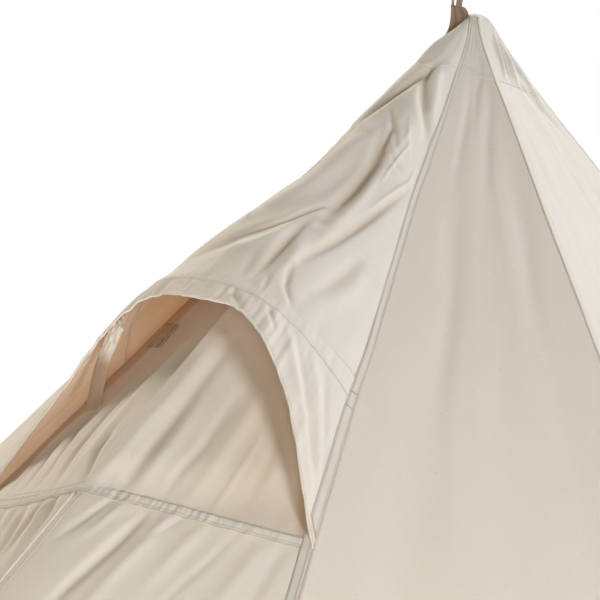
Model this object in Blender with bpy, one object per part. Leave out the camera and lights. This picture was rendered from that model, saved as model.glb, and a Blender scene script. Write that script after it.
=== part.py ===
"""Tipi tent: a canvas pyramid on one centre pole, with a hooded vent over a zipped door.

Metres, +Z up. The origin is the middle of the pole's foot, on the ground. The door faces -Y.
Azimuths turn from the door (-Y) towards +X. Depths are measured down from the canvas apex.
"""
import math

import bmesh
import bpy
from mathutils import Vector

# The pyramid
APEX_HEIGHT = 2.60
CORNER_SLOPE = 0.93
DOOR_SLOPE = 1.09
CORNER_AZIMUTHS = (23.5, 63.5, 112.5, 157.5, 202.5, 247.5, 296.5, 336.5)
CORNER_NAMES = ("front_right", "right", "rear_right", "back_right",
                "back_left", "rear_left", "left", "front_left")
WALL_NAMES = ("wall_front_right", "wall_right", "wall_back_right", "wall_back",
              "wall_back_left", "wall_left", "wall_front_left")
WALL_SAG = 0.016

# Cloth, as level thicknesses of a wall that leans in
CANVAS = 0.0045
TAPE = 0.002
GAP = 0.00045
EDGE = 0.00016

# The crown
SHEET_TOP = 0.035
CROWN_DEPTH = 0.132
CROWN_CLOTH = 0.0025
CROWN_CLEAR = 0.00075
CROWN_TIP = 0.004
CROWN_SHOULDER = 0.012
CEILING_DEPTH = 0.034

# The front wall, under the hood and over the door
FRONT_ROUNDING = 1.25
VENT_RECESS = 0.0088
DOOR_FALLS = (0.0, 0.02, 0.35, 0.7, 1.0)
SEAM_SIDE_DEPTH = 1.05
SEAM_PEAK_DEPTH = 0.988
SEAM_ROUNDING = 1.2
SEAM_BAND = 0.018
SEAM_BAND_RISE = 0.004
VENT_TOP = 0.25
VENT_BOTTOM = 0.55
VENT_HALF = 0.55
MESH_CLOTH = 0.0015

# The hood
HOOD_PEAK_DEPTH = 0.629
HOOD_PEAK_REACH = 0.814
HOOD_CLOTH = 0.003
HOOD_SAG = 0.012
HOOD_SAG_START = 0.3
HOOD_SAG_WAY = (0.0, 1.0, -0.6)
HOOD_EDGE_DEPTH = 0.0069
HOOD_SPANS = (-1, -0.93, -0.84, -0.72, -0.58, -0.42, -0.22, 0, 0.22, 0.42, 0.58, 0.72, 0.84, 0.93, 1)
BORDER_AT_PEAK = 0.935
BORDER_FALL = 0.22
BORDER_GAP_FALL = 0.0007
BINDING_DEPTH = 0.008
BINDING_LIP = 0.001
BINDING_GAP = 0.0004

# The hood's side straps and their patches on the wall
STRAP_WIDTH = 0.030
STRAP_CLOTH = 0.004
STRAP_CLEAR = 0.0009
STRAP_TOP_SPAN = 0.43
STRAP_TOP_FALL = 0.972
STRAP_TOP_CLEAR = 0.0052
STRAP_FOOT_DEPTH = 0.833
STRAP_FOOT_SPAN = 0.80
STRAP_TILT = (-0.2, 0.25, 1.0)
STRAP_PARTS = ((0.0, 0.4), (0.1, 0.7), (0.25, 0.9), (0.6, 1.0), (0.85, 1.0), (1.0, 1.0))
PATCH_TOP = 0.655
PATCH_BOTTOM = 0.715
PATCH_INNER_SPAN = 0.62
PATCH_OUTER_SPAN = 0.79
PATCH_CLEAR = 0.0008

# Sewn strips
SEAM_WIDTH = 0.016
SEAM_TOP = 0.136
HEM_HEIGHT = 0.052
PLACKET_WIDTH = 0.015
PULLER_LENGTH = 0.045
PULLER_CLOTH = 0.003
STRIP_CLEAR = 0.004

# The webbing loop at the apex
LOOP_WIDTH = 0.038
LOOP_CLOTH = 0.003
LOOP_RISE = 0.125
LOOP_HALF_GAP = 0.012
LOOP_FOOT_DEPTH = 0.052
LOOP_SHOULDER_DEPTH = 0.010
LOOP_INNER_FOOT = 0.0012
LOOP_SIDE = -40.0

# Peg loops
PEG_LOOP_REACH = 0.075
PEG_LOOP_HALF = 0.016
PEG_LOOP_CLOTH = 0.003
PEG_LOOP_HEIGHT = 0.020

# The centre pole
POLE_RADIUS = 0.016
UPPER_POLE_RADIUS = 0.014
POLE_JOINT_HEIGHT = 1.32
POLE_SIDES = 20
FOOT_RADIUS = 0.036
FOOT_HEIGHT = 0.014
FOOT_COLLAR = 0.040
HEAD_RADIUS = 0.024
HEAD_DEPTH = 0.085
HEAD_PIN_RADIUS = 0.010
POLE_GAP = 0.0003

CREAM = (0.64, 0.55, 0.44)
DARK_CREAM = (0.55, 0.46, 0.36)
TAUPE = (0.28, 0.21, 0.16)


def clear_scene():
    for item in list(bpy.data.objects):
        bpy.data.objects.remove(item, do_unlink=True)


def make_material(name, colour, roughness, metallic=0.0):
    material = bpy.data.materials.new(name)
    material.use_nodes = True
    shader = material.node_tree.nodes["Principled BSDF"]
    shader.inputs["Base Color"].default_value = (*colour, 1.0)
    shader.inputs["Roughness"].default_value = roughness
    shader.inputs["Metallic"].default_value = metallic
    return material


def add_object(name, mesh_builder, material):
    bmesh.ops.remove_doubles(mesh_builder, verts=mesh_builder.verts, dist=1e-6)
    bmesh.ops.recalc_face_normals(mesh_builder, faces=mesh_builder.faces)
    if mesh_builder.calc_volume(signed=True) < 0:
        bmesh.ops.reverse_faces(mesh_builder, faces=mesh_builder.faces)
    mesh = bpy.data.meshes.new(name)
    mesh_builder.to_mesh(mesh)
    mesh_builder.free()
    mesh.materials.append(material)
    item = bpy.data.objects.new(name, mesh)
    bpy.context.scene.collection.objects.link(item)
    return item


def thick_sheet(name, outer, inner, material, holes=()):
    """A closed solid between two grids of points, less the cells named in holes."""
    builder = bmesh.new()
    rows = len(outer)
    columns = len(outer[0])
    front = [[builder.verts.new(point) for point in row] for row in outer]
    back = [[builder.verts.new(point) for point in row] for row in inner]

    def kept(row, column):
        inside = 0 <= row < rows - 1 and 0 <= column < columns - 1
        return inside and (row, column) not in holes

    for row in range(rows - 1):
        for column in range(columns - 1):
            if not kept(row, column):
                continue
            ring = ((row, column), (row, column + 1), (row + 1, column + 1), (row + 1, column))
            builder.faces.new([front[r][c] for r, c in ring])
            builder.faces.new([back[r][c] for r, c in reversed(ring)])
            beside = ((row - 1, column), (row, column + 1), (row + 1, column), (row, column - 1))
            for side, neighbour in enumerate(beside):
                if kept(*neighbour):
                    continue
                a = ring[side]
                b = ring[(side + 1) % 4]
                builder.faces.new((front[b[0]][b[1]], front[a[0]][a[1]], back[a[0]][a[1]], back[b[0]][b[1]]))
    loose = [vertex for vertex in builder.verts if not vertex.link_faces]
    bmesh.ops.delete(builder, geom=loose, context="VERTS")
    return add_object(name, builder, material)


def direction(azimuth):
    angle = math.radians(azimuth)
    return Vector((math.sin(angle), -math.cos(angle)))


def corner(index, depth):
    return direction(CORNER_AZIMUTHS[index]) * CORNER_SLOPE * depth


def at_depth(point, depth):
    return Vector((point.x, point.y, APEX_HEIGHT - depth))


def wall_point(index, depth, share):
    """The outside of a wall at a depth, a share of the way from its first corner to its next."""
    start = corner(index, depth)
    end = corner(index + 1, depth)
    chord = end - start
    inward = Vector((-chord.y, chord.x)).normalized()
    return start + chord * share + inward * WALL_SAG * chord.length * 4 * share * (1 - share)


def front_point(depth, span):
    """The outside of the front at a depth; span runs from -1 at the left seam to 1 at the right."""
    side = corner(0, depth)
    reach = -side.y + (DOOR_SLOPE * depth + side.y) * (1 - abs(span) ** FRONT_ROUNDING)
    return Vector((side.x * span, -reach))


def outward(surface, depth, place):
    """The level unit normal of a surface of two arguments, on the side away from the pole."""
    step = 1e-4
    along = surface(depth, place + step) - surface(depth, place - step)
    normal = Vector((along.y, -along.x)).normalized()
    if normal.dot(surface(depth, place)) < 0:
        normal.negate()
    return normal


def true_normal(surface, depth, place):
    """The unit normal of a leaning surface, on the side away from the pole."""
    step = 1e-4
    aside = at_depth(surface(depth, place + step), depth) - at_depth(surface(depth, place - step), depth)
    down = at_depth(surface(depth + step, place), depth + step) - at_depth(surface(depth, place), depth)
    normal = aside.cross(down).normalized()
    if normal.to_2d().dot(surface(depth, place)) < 0:
        normal.negate()
    return normal


def shifted(surface, depth, place, distance, mitre=None):
    """A point that distance outside the surface; at a seam it moves along the seam's own plane."""
    normal = outward(surface, depth, place)
    base = surface(depth, place)
    if mitre is None:
        return at_depth(base + normal * distance, depth)
    return at_depth(base + mitre * (distance / normal.dot(mitre)), depth)


def build_wall(index, material):
    def surface(depth, share):
        return wall_point(index, depth, share)

    depths = (SHEET_TOP, CROWN_DEPTH, SEAM_TOP, 1.2, APEX_HEIGHT - HEM_HEIGHT - 0.003,
              APEX_HEIGHT - HEM_HEIGHT, APEX_HEIGHT)
    outer = []
    inner = []
    for depth in depths:
        places = wall_places(index, depth)
        mitres = [None] * len(places)
        mitres[0] = direction(CORNER_AZIMUTHS[index])
        mitres[-1] = direction(CORNER_AZIMUTHS[index + 1])
        outer.append([shifted(surface, depth, place, 0.0) for place in places])
        inner.append([shifted(surface, depth, place, -CANVAS, mitre) for place, mitre in zip(places, mitres)])
    thick_sheet(WALL_NAMES[index], outer, inner, material)


def wall_places(index, depth):
    """Shares across a wall: its two edges, the lines beside its seams, and three between."""
    width = (corner(index + 1, depth) - corner(index, depth)).length
    edge = EDGE / width
    arm = min((SEAM_WIDTH + 0.001) / width, 0.25)
    inside = [arm + (1 - 2 * arm) * part for part in (0.0, 0.25, 0.5, 0.75, 1.0)]
    return [edge, *inside, 1 - edge]


def build_seam(index, material):
    """A flat-felled seam lies on the wall behind its corner."""
    on_right = index < 4
    wall = index if on_right else index - 1

    def surface(depth, share):
        return wall_point(wall, depth, share)

    outer = []
    inner = []
    for depth in (SEAM_TOP, 1.2, APEX_HEIGHT - HEM_HEIGHT - 0.003):
        width = (corner(wall + 1, depth) - corner(wall, depth)).length
        places = [EDGE / width, SEAM_WIDTH / width]
        if not on_right:
            places = [1 - place for place in places]
        outer.append([shifted(surface, depth, place, GAP + TAPE) for place in places])
        inner.append([shifted(surface, depth, place, GAP) for place in places])
    thick_sheet("seam_" + CORNER_NAMES[index], outer, inner, material)


def seam_depth(span):
    return SEAM_SIDE_DEPTH - (SEAM_SIDE_DEPTH - SEAM_PEAK_DEPTH) * (1 - abs(span) ** SEAM_ROUNDING)


def recessed_front(depth, span):
    point = front_point(depth, span)
    return point - direction(CORNER_AZIMUTHS[0] * span) * VENT_RECESS * span * span


def build_vent_wall(canvas, mesh_cloth):
    spans = (-1, -0.8, -VENT_HALF, -0.3, -0.12, 0, 0.12, 0.3, VENT_HALF, 0.8, 1)
    depths = (SHEET_TOP, CROWN_DEPTH, VENT_TOP, VENT_BOTTOM, 0.8)
    outer = []
    inner = []
    for row in range(len(depths) + 1):
        outer_row = []
        inner_row = []
        for span in spans:
            depth = depths[row] if row < len(depths) else seam_depth(span) - GAP
            inset = span * (1 - EDGE / corner(0, depth).x)
            mitre = direction(CORNER_AZIMUTHS[0] * span) if abs(span) == 1 else None
            outer_row.append(shifted(recessed_front, depth, inset, 0.0))
            inner_row.append(shifted(recessed_front, depth, inset, -CANVAS, mitre))
        outer.append(outer_row)
        inner.append(inner_row)
    holes = {(2, column) for column, span in enumerate(spans[:-1]) if -VENT_HALF <= span < VENT_HALF}
    thick_sheet("vent_wall", outer, inner, canvas, holes)

    spans = (-VENT_HALF, -0.3, -0.12, 0, 0.12, 0.3, VENT_HALF)
    front = (CANVAS - MESH_CLOTH) / 2
    outer = []
    inner = []
    for depth in (VENT_TOP + GAP, VENT_BOTTOM - GAP):
        clear = 2 * EDGE / corner(0, depth).x
        places = [span - math.copysign(clear, span) if abs(span) == VENT_HALF else span for span in spans]
        outer.append([shifted(recessed_front, depth, place, -front) for place in places])
        inner.append([shifted(recessed_front, depth, place, -front - MESH_CLOTH) for place in places])
    thick_sheet("vent_mesh", outer, inner, mesh_cloth)


def door_arm(depth):
    """The span of the flat strip beside the door's meeting edge, where its zip is sewn."""
    return PLACKET_WIDTH / corner(0, depth).x


def door_edge_point(depth, share):
    """The door's outside beside its meeting edge; share is -1 and 1 at the strips' far sides."""
    middle = front_point(depth, 0.0)
    return middle.lerp(front_point(depth, math.copysign(door_arm(depth), share)), abs(share))


def door_spans(depth):
    return (0.0, door_arm(depth), 0.14, 0.3, 0.5, 0.75, 1.0)


def door_inner_point(depth, share):
    """The inside of the door, square behind a point on the strip beside its meeting edge."""
    point = at_depth(door_edge_point(depth, share), depth)
    normal = outward(door_edge_point, depth, share if share else 0.5)
    if share:
        return point - normal.to_3d() * CANVAS
    return point - direction(0).to_3d() * CANVAS / normal.dot(direction(0))


def build_door(side, canvas):
    outer = []
    inner = []
    for fall in DOOR_FALLS:
        outer_row = []
        inner_row = []
        for column, span in enumerate(door_spans(SEAM_PEAK_DEPTH)):
            top = seam_depth(span) + GAP
            depth = top + (APEX_HEIGHT - top) * fall
            if column == 1:
                span = door_arm(depth)
            inset = EDGE / corner(0, depth).x
            place = side * min(max(span, inset), 1 - inset)
            outer_row.append(shifted(front_point, depth, place, 0.0))
            if column == 0:
                shift = door_inner_point(depth, 0.0) - at_depth(front_point(depth, 0.0), depth)
                inner_row.append(outer_row[-1] + shift)
            elif column == 1:
                inner_row.append(door_inner_point(depth, side * 0.99))
            elif span == 1.0:
                seam_way = direction(CORNER_AZIMUTHS[0] * side)
                inner_row.append(shifted(front_point, depth, place, -CANVAS, seam_way))
            else:
                inner_row.append(shifted(front_point, depth, place, -CANVAS))
        outer.append(outer_row)
        inner.append(inner_row)
    thick_sheet("door_right" if side > 0 else "door_left", outer, inner, canvas)


def build_vent_seam(material):
    spans = (-0.985, -0.75, -0.5, -0.3, -0.14, -0.06, 0, 0.06, 0.14, 0.3, 0.5, 0.75, 0.985)
    outer = []
    inner = []
    for drop in (-SEAM_BAND_RISE, 0.0, SEAM_BAND - SEAM_BAND_RISE):
        depths = [seam_depth(span) + drop for span in spans]
        outer.append([shifted(front_point, d, s, GAP + TAPE) for d, s in zip(depths, spans)])
        inner.append([shifted(front_point, d, s, GAP) for d, s in zip(depths, spans)])
    thick_sheet("vent_seam", outer, inner, material)


def door_edge_row(depth, places, distance):
    """Points at a distance outside the door, beside its meeting edge."""
    row = []
    for place in places:
        if place == 0.0:
            slant = outward(door_edge_point, depth, 0.5).dot(direction(0))
            row.append(at_depth(door_edge_point(depth, 0.0) + direction(0) * distance / slant, depth))
        else:
            row.append(shifted(door_edge_point, depth, place, distance))
    return row


def build_door_strips(canvas, zip_material, metal):
    """The placket outside the door's meeting edge, the zip behind it, and its puller."""
    top = SEAM_PEAK_DEPTH + SEAM_BAND + STRIP_CLEAR
    hem_top = APEX_HEIGHT - HEM_HEIGHT
    zip_near = -CANVAS - 2 * GAP - TAPE
    puller_near = zip_near - 2 * GAP - PULLER_CLOTH
    placket = (top, 1.5, 2.0, hem_top - 0.001)
    closure = (top, 1.5, 2.0, APEX_HEIGHT - STRIP_CLEAR)
    puller = (hem_top - PULLER_LENGTH, hem_top)
    strips = (
        ("door_placket", canvas, placket, (0.01, 0.96), GAP, TAPE),
        ("door_zip", zip_material, closure, (-0.96, 0.0, 0.96), zip_near, TAPE),
        ("zip_puller", metal, puller, (0.2, 0.8), puller_near, PULLER_CLOTH),
    )
    for name, material, depths, places, near, cloth in strips:
        outer = [door_edge_row(depth, places, near + cloth) for depth in depths]
        inner = [door_edge_row(depth, places, near) for depth in depths]
        thick_sheet(name, outer, inner, material)


def rim(span):
    """The hood's free edge is an arch: a parabola from seam to seam, leaning out a little at the foot."""
    foot = corner(0, SEAM_SIDE_DEPTH)
    square = span * span
    depth = HOOD_PEAK_DEPTH + (SEAM_SIDE_DEPTH - HOOD_PEAK_DEPTH) * square
    reach = HOOD_PEAK_REACH + (-foot.y - HOOD_PEAK_REACH) * square
    return Vector((foot.x * span, -reach, APEX_HEIGHT - depth))


def hood_point(span, fall):
    """Straight lines from the apex to the rim, drawn in a little halfway down."""
    apex = Vector((0, 0, APEX_HEIGHT))
    point = apex.lerp(rim(span), fall)
    slack = max(0.0, (fall - HOOD_SAG_START) / (1 - HOOD_SAG_START))
    inward = Vector(HOOD_SAG_WAY).normalized()
    return point + inward * HOOD_SAG * 4 * slack * (1 - slack) * (1 - span * span)


def hood_normal(span, fall):
    step = 1e-4
    span = min(max(span, -1 + step), 1 - step)
    along = hood_point(span + step, fall) - hood_point(span - step, fall)
    down = hood_point(span, fall) - hood_point(span, fall - step)
    normal = down.cross(along).normalized()
    if normal.y > 0 and abs(span) < 0.9:
        normal.negate()
    if normal.x * span < 0 and abs(span) >= 0.9:
        normal.negate()
    return normal


def border_fall(span):
    return BORDER_AT_PEAK - BORDER_FALL * span * span


def hood_pair(span, fall):
    """The outer and inner points of the hood; at a seam both lie on the seam's plane."""
    outer = hood_point(span, fall)
    if abs(span) < 1:
        return outer, outer - hood_normal(span, fall) * HOOD_CLOTH
    seam_line = direction(CORNER_AZIMUTHS[0] * span).to_3d()
    aside = Vector((-span * math.cos(math.radians(CORNER_AZIMUTHS[0])), 0, 0))
    outer = outer + aside * EDGE
    return outer, outer - seam_line * HOOD_EDGE_DEPTH


def build_hood(canvas, binding):
    outer = []
    inner = []
    for part in (None, 0.25, 0.45, 0.65, 0.82, 1.0):
        pairs = []
        for span in HOOD_SPANS:
            end = border_fall(span) - BORDER_GAP_FALL
            fall = SHEET_TOP / (APEX_HEIGHT - rim(span).z) if part is None else end * part
            pairs.append(hood_pair(span, fall))
        outer.append([pair[0] for pair in pairs])
        inner.append([pair[1] for pair in pairs])
    thick_sheet("vent_hood", outer, inner, canvas)

    outer = []
    inner = []
    for part in (0.0, 0.5, 1.0):
        pairs = []
        for span in HOOD_SPANS:
            start = border_fall(span) + BORDER_GAP_FALL
            pairs.append(hood_pair(span, start + (1 - start) * part))
        outer.append([pair[0] for pair in pairs])
        inner.append([pair[1] for pair in pairs])
    thick_sheet("hood_border", outer, inner, canvas)

    sections = []
    for span in HOOD_SPANS[1:-1]:
        edge = hood_point(span, 1.0)
        normal = hood_normal(span, 1.0)
        down = (edge - hood_point(span, border_fall(span))).normalized()
        near = edge + down * BINDING_GAP
        far = near + down * BINDING_DEPTH
        out = normal * BINDING_LIP
        back = normal * (HOOD_CLOTH + BINDING_LIP)
        sections.append((near + out, far + out, far - back, near - back))
    swept_bar("hood_rim_binding", sections, binding)


def swept_bar(name, sections, material):
    """A closed solid through matching rings of points, with both ends capped."""
    builder = bmesh.new()
    rings = [[builder.verts.new(point) for point in section] for section in sections]
    count = len(rings[0])
    for first, second in zip(rings, rings[1:]):
        for k in range(count):
            following = (k + 1) % count
            builder.faces.new((first[k], first[following], second[following], second[k]))
    builder.faces.new(list(reversed(rings[0])))
    builder.faces.new(rings[-1])
    add_object(name, builder, material)


def cut_to_plane(points, way, place, normal):
    """Slides points along a direction until they lie on a plane."""
    return tuple(point + way * ((place - point).dot(normal) / way.dot(normal)) for point in points)


def build_strap(side, strap_cloth, patch_cloth):
    """A short strap from inside the hood's border to the wall, and the patch that can hold it."""
    name = "right" if side > 0 else "left"
    top_span = side * STRAP_TOP_SPAN
    foot_span = side * STRAP_FOOT_SPAN
    hood_side = hood_normal(top_span, STRAP_TOP_FALL)
    top = hood_point(top_span, STRAP_TOP_FALL) - hood_side * (HOOD_CLOTH + STRAP_TOP_CLEAR)
    wall_side = true_normal(recessed_front, STRAP_FOOT_DEPTH, foot_span)
    foot = at_depth(recessed_front(STRAP_FOOT_DEPTH, foot_span), STRAP_FOOT_DEPTH) + wall_side * STRAP_CLEAR
    run = (foot - top).normalized()
    across = Vector((STRAP_TILT[0] * side, *STRAP_TILT[1:])).cross(run).normalized()
    flat = run.cross(across).normalized()
    sections = []
    for part, width in STRAP_PARTS:
        section = band_section(top.lerp(foot, part), flat, STRAP_WIDTH * width / 2, STRAP_CLOTH, across)
        if part == 0.0:
            section = cut_to_plane(section, run, top, hood_side)
        if part == 1.0:
            section = cut_to_plane(section, run, foot, wall_side)
        sections.append(section)
    swept_bar("hood_strap_" + name, sections, strap_cloth)

    outer = []
    inner = []
    for depth in (PATCH_TOP, PATCH_BOTTOM):
        places = [side * PATCH_INNER_SPAN, side * PATCH_OUTER_SPAN]
        outer.append([shifted(recessed_front, depth, place, PATCH_CLEAR + TAPE) for place in places])
        inner.append([shifted(recessed_front, depth, place, PATCH_CLEAR) for place in places])
    thick_sheet("strap_patch_" + name, outer, inner, patch_cloth)


def crown_ring(depth):
    """The outside of the canvas and the hood at a depth, once round from the front right seam."""
    points = []
    for index in range(7):
        points.append(wall_point(index, depth, 0.0))
        points.append(wall_point(index, depth, 0.5))
    points.append(corner(7, depth))
    for span in HOOD_SPANS[1:-1]:
        fall = depth / (APEX_HEIGHT - rim(span).z)
        points.append(hood_point(span, fall).to_2d())
    return points


def grown(ring, distance):
    """A ring of level points moved outwards by a distance, with mitred corners."""
    count = len(ring)
    result = []
    for k in range(count):
        before = (ring[k] - ring[k - 1]).normalized()
        after = (ring[(k + 1) % count] - ring[k]).normalized()
        first = Vector((before.y, -before.x))
        second = Vector((after.y, -after.x))
        mitre = (first + second).normalized()
        result.append(ring[k] + mitre * distance / mitre.dot(first))
    return result


def build_crown(material):
    builder = bmesh.new()

    def level_ring(depth, distance):
        return [builder.verts.new(at_depth(point, depth)) for point in grown(crown_ring(depth), distance)]

    clear = CROWN_CLEAR
    low_inner = level_ring(CROWN_DEPTH, clear)
    low_outer = level_ring(CROWN_DEPTH, clear + CROWN_CLOTH)
    high_inner = level_ring(CEILING_DEPTH, clear)
    high_outer = level_ring(SHEET_TOP, clear + CROWN_CLOTH)
    top_outer = level_ring(CROWN_SHOULDER, CROWN_CLOTH)
    count = len(low_inner)
    for k in range(count):
        n = (k + 1) % count
        builder.faces.new((low_inner[k], low_inner[n], low_outer[n], low_outer[k]))
        builder.faces.new((low_outer[k], low_outer[n], high_outer[n], high_outer[k]))
        builder.faces.new((high_outer[k], high_outer[n], top_outer[n], top_outer[k]))
        builder.faces.new((low_inner[n], low_inner[k], high_inner[k], high_inner[n]))
    tip = builder.verts.new((0, 0, APEX_HEIGHT - CROWN_TIP))
    ceiling = builder.verts.new((0, 0, APEX_HEIGHT - CEILING_DEPTH))
    for k in range(count):
        n = (k + 1) % count
        builder.faces.new((top_outer[k], top_outer[n], tip))
        builder.faces.new((high_inner[n], high_inner[k], ceiling))
    add_object("crown_cap", builder, material)


def build_hem(material):
    """One band round the foot of the canvas, from one door edge to the other."""
    start = APEX_HEIGHT - HEM_HEIGHT

    def line(depth):
        places = door_spans(depth)[:-1]
        points = [front_point(depth, place) for place in places]
        for index in range(7):
            points.append(corner(index, depth))
            points.extend(wall_point(index, depth, part) for part in wall_places(index, depth)[1:-1])
        points.append(corner(7, depth))
        points.extend(front_point(depth, -place) for place in reversed(places))
        return points

    def offset(depth, distance):
        points = line(depth)
        result = []
        for k, point in enumerate(points):
            before = (point - points[max(k - 1, 0)])
            after = (points[min(k + 1, len(points) - 1)] - point)
            before = before.normalized() if before.length > 1e-9 else after.normalized()
            after = after.normalized() if after.length > 1e-9 else before
            first = Vector((before.y, -before.x))
            second = Vector((after.y, -after.x))
            mitre = (first + second).normalized()
            moved = point + mitre * distance / mitre.dot(first)
            if k == 0:
                moved = Vector((0.0003, point.y - distance / abs(first.y)))
            if k == len(points) - 1:
                moved = Vector((-0.0003, point.y - distance / abs(first.y)))
            result.append(at_depth(moved, depth))
        return result

    outer = [offset(start, GAP + TAPE), offset(APEX_HEIGHT, GAP + TAPE)]
    inner = [offset(start, GAP), offset(APEX_HEIGHT, GAP)]
    thick_sheet("base_hem", outer, inner, material)


def band_section(middle, way, half_width, thickness, across):
    side = across * half_width
    thick = way * thickness / 2
    return (middle - side - thick, middle + side - thick, middle + side + thick, middle - side + thick)


def crown_support(front, depth):
    """How far the crown reaches in a direction, at a depth."""
    ring = grown(crown_ring(depth), CROWN_CLEAR + CROWN_CLOTH)
    return max(point.dot(front) for point in ring)


def build_apex_loop(material):
    """A loop of webbing sewn to the crown's left front, standing up over the apex."""
    front = direction(LOOP_SIDE)
    across = Vector((-front.y, front.x, 0))
    clear = LOOP_CLOTH * 0.65 + 1.3 * GAP
    path = []
    for depth in (LOOP_FOOT_DEPTH, LOOP_SHOULDER_DEPTH):
        path.append((crown_support(front, depth) + clear, -depth))
    outer_leg = path[-1][0]
    middle = outer_leg - LOOP_HALF_GAP
    turns = 8
    for step in range(turns + 1):
        angle = math.pi * step / turns
        reach = middle + math.cos(angle) * LOOP_HALF_GAP
        path.append((reach, LOOP_RISE - LOOP_HALF_GAP + math.sin(angle) * LOOP_HALF_GAP))
    path.append((middle - LOOP_HALF_GAP, LOOP_INNER_FOOT))
    points = [at_depth(front * reach, -rise) for reach, rise in path]
    sections = []
    for k, point in enumerate(points):
        ahead = points[min(k + 1, len(points) - 1)] - points[max(k - 1, 0)]
        way = ahead.normalized().cross(across).normalized()
        sections.append(band_section(point, way, LOOP_WIDTH / 2, LOOP_CLOTH, across))
    swept_bar("apex_loop", sections, material)


def level_normal(start, end):
    """The outward level normal of a wall that runs round the tent from start to end."""
    way = (end - start).normalized()
    return Vector((way.y, -way.x))


def build_peg_loop(name, place, before, after, material):
    """A loop of webbing on edge, sewn to the hem and lying out along the ground."""
    out = (before + after).normalized()
    across = Vector((-out.y, out.x))
    tip = place + out * ((GAP + TAPE) / out.dot(before))
    bend = PEG_LOOP_REACH - PEG_LOOP_HALF
    near = PEG_LOOP_HALF - PEG_LOOP_CLOTH / 2
    path = [(near * across.dot(before) / out.dot(before) + GAP, -PEG_LOOP_HALF)]
    turns = 6
    for step in range(turns + 1):
        angle = math.pi * (step / turns - 0.5)
        path.append((bend + math.cos(angle) * PEG_LOOP_HALF, math.sin(angle) * PEG_LOOP_HALF))
    path.append((-near * across.dot(after) / out.dot(after) + GAP, PEG_LOOP_HALF))
    points = [tip + out * reach + across * aside for reach, aside in path]
    sections = []
    for k, point in enumerate(points):
        ahead = (points[min(k + 1, len(points) - 1)] - points[max(k - 1, 0)]).normalized()
        way = Vector((-ahead.y, ahead.x)) * PEG_LOOP_CLOTH / 2
        high = Vector((0, 0, PEG_LOOP_HEIGHT))
        left = (point + way).to_3d()
        right = (point - way).to_3d()
        sections.append((left, right, right + high, left + high))
    swept_bar("peg_loop_" + name, sections, material)


def build_peg_loops(material):
    beside_door = door_spans(APEX_HEIGHT)[-2]
    for index, name in enumerate(CORNER_NAMES):
        place = corner(index, APEX_HEIGHT)
        before = front_point(APEX_HEIGHT, beside_door)
        after = front_point(APEX_HEIGHT, -beside_door)
        if index > 0:
            before = wall_point(index - 1, APEX_HEIGHT, wall_places(index - 1, APEX_HEIGHT)[-2])
        if index < 7:
            after = wall_point(index, APEX_HEIGHT, wall_places(index, APEX_HEIGHT)[1])
        build_peg_loop(name, place, level_normal(before, place), level_normal(place, after), material)
    nose = front_point(APEX_HEIGHT, 0.0)
    near_nose = door_arm(APEX_HEIGHT)
    build_peg_loop("door", nose, level_normal(front_point(APEX_HEIGHT, -near_nose), nose),
                   level_normal(nose, front_point(APEX_HEIGHT, near_nose)), material)


def turned(name, outline, material):
    """A closed solid turned about the pole's axis from its outline, bottom to top."""
    sections = []
    for radius, height in outline:
        ring = []
        for k in range(POLE_SIDES):
            angle = 2 * math.pi * k / POLE_SIDES
            ring.append(Vector((math.cos(angle) * radius, math.sin(angle) * radius, height)))
        sections.append(ring)
    swept_bar(name, sections, material)
    bpy.data.objects[name].data.shade_smooth()
    bpy.data.objects[name].data.set_sharp_from_angle(angle=math.radians(40))


def build_pole(steel, rubber):
    head_bottom = APEX_HEIGHT - HEAD_DEPTH
    collar_top = FOOT_COLLAR + 0.002
    foot = ((FOOT_RADIUS - 0.003, 0.0), (FOOT_RADIUS, 0.003), (FOOT_RADIUS, FOOT_HEIGHT - 0.004),
            (0.024, FOOT_HEIGHT), (0.021, FOOT_COLLAR), (0.018, collar_top))
    head = ((UPPER_POLE_RADIUS + 0.002, head_bottom), (HEAD_RADIUS, head_bottom + 0.008),
            (HEAD_RADIUS - 0.002, head_bottom + 0.018), (HEAD_PIN_RADIUS, head_bottom + 0.026),
            (HEAD_PIN_RADIUS - 0.001, APEX_HEIGHT - CEILING_DEPTH - POLE_GAP))
    lower = ((POLE_RADIUS, collar_top + POLE_GAP), (POLE_RADIUS, POLE_JOINT_HEIGHT))
    upper = ((UPPER_POLE_RADIUS, POLE_JOINT_HEIGHT + POLE_GAP), (UPPER_POLE_RADIUS, head_bottom - POLE_GAP))
    turned("pole_foot", foot, rubber)
    turned("pole_lower", lower, steel)
    turned("pole_upper", upper, steel)
    turned("pole_head", head, rubber)


def main():
    clear_scene()
    canvas = make_material("cream_canvas", CREAM, 0.9)
    tape = make_material("canvas_tape", DARK_CREAM, 0.85)
    webbing = make_material("taupe_webbing", TAUPE, 0.8)
    mesh_cloth = make_material("vent_netting", (0.42, 0.36, 0.29), 0.9)
    zip_material = make_material("zip_tape", (0.40, 0.34, 0.27), 0.7)
    steel = make_material("galvanised_steel", (0.55, 0.56, 0.57), 0.35, 0.9)
    rubber = make_material("black_rubber", (0.03, 0.03, 0.03), 0.7)
    for index in range(7):
        build_wall(index, canvas)
    for index in range(8):
        build_seam(index, tape)
    build_vent_wall(canvas, mesh_cloth)
    build_door(1, canvas)
    build_door(-1, canvas)
    build_vent_seam(tape)
    build_door_strips(tape, zip_material, steel)
    build_hood(canvas, tape)
    build_strap(1, canvas, mesh_cloth)
    build_strap(-1, canvas, mesh_cloth)
    build_crown(canvas)
    build_hem(tape)
    build_apex_loop(webbing)
    build_peg_loops(webbing)
    build_pole(steel, rubber)


main()
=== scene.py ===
import math

import bmesh
import bpy
from mathutils import Matrix, Vector, noise


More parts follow.
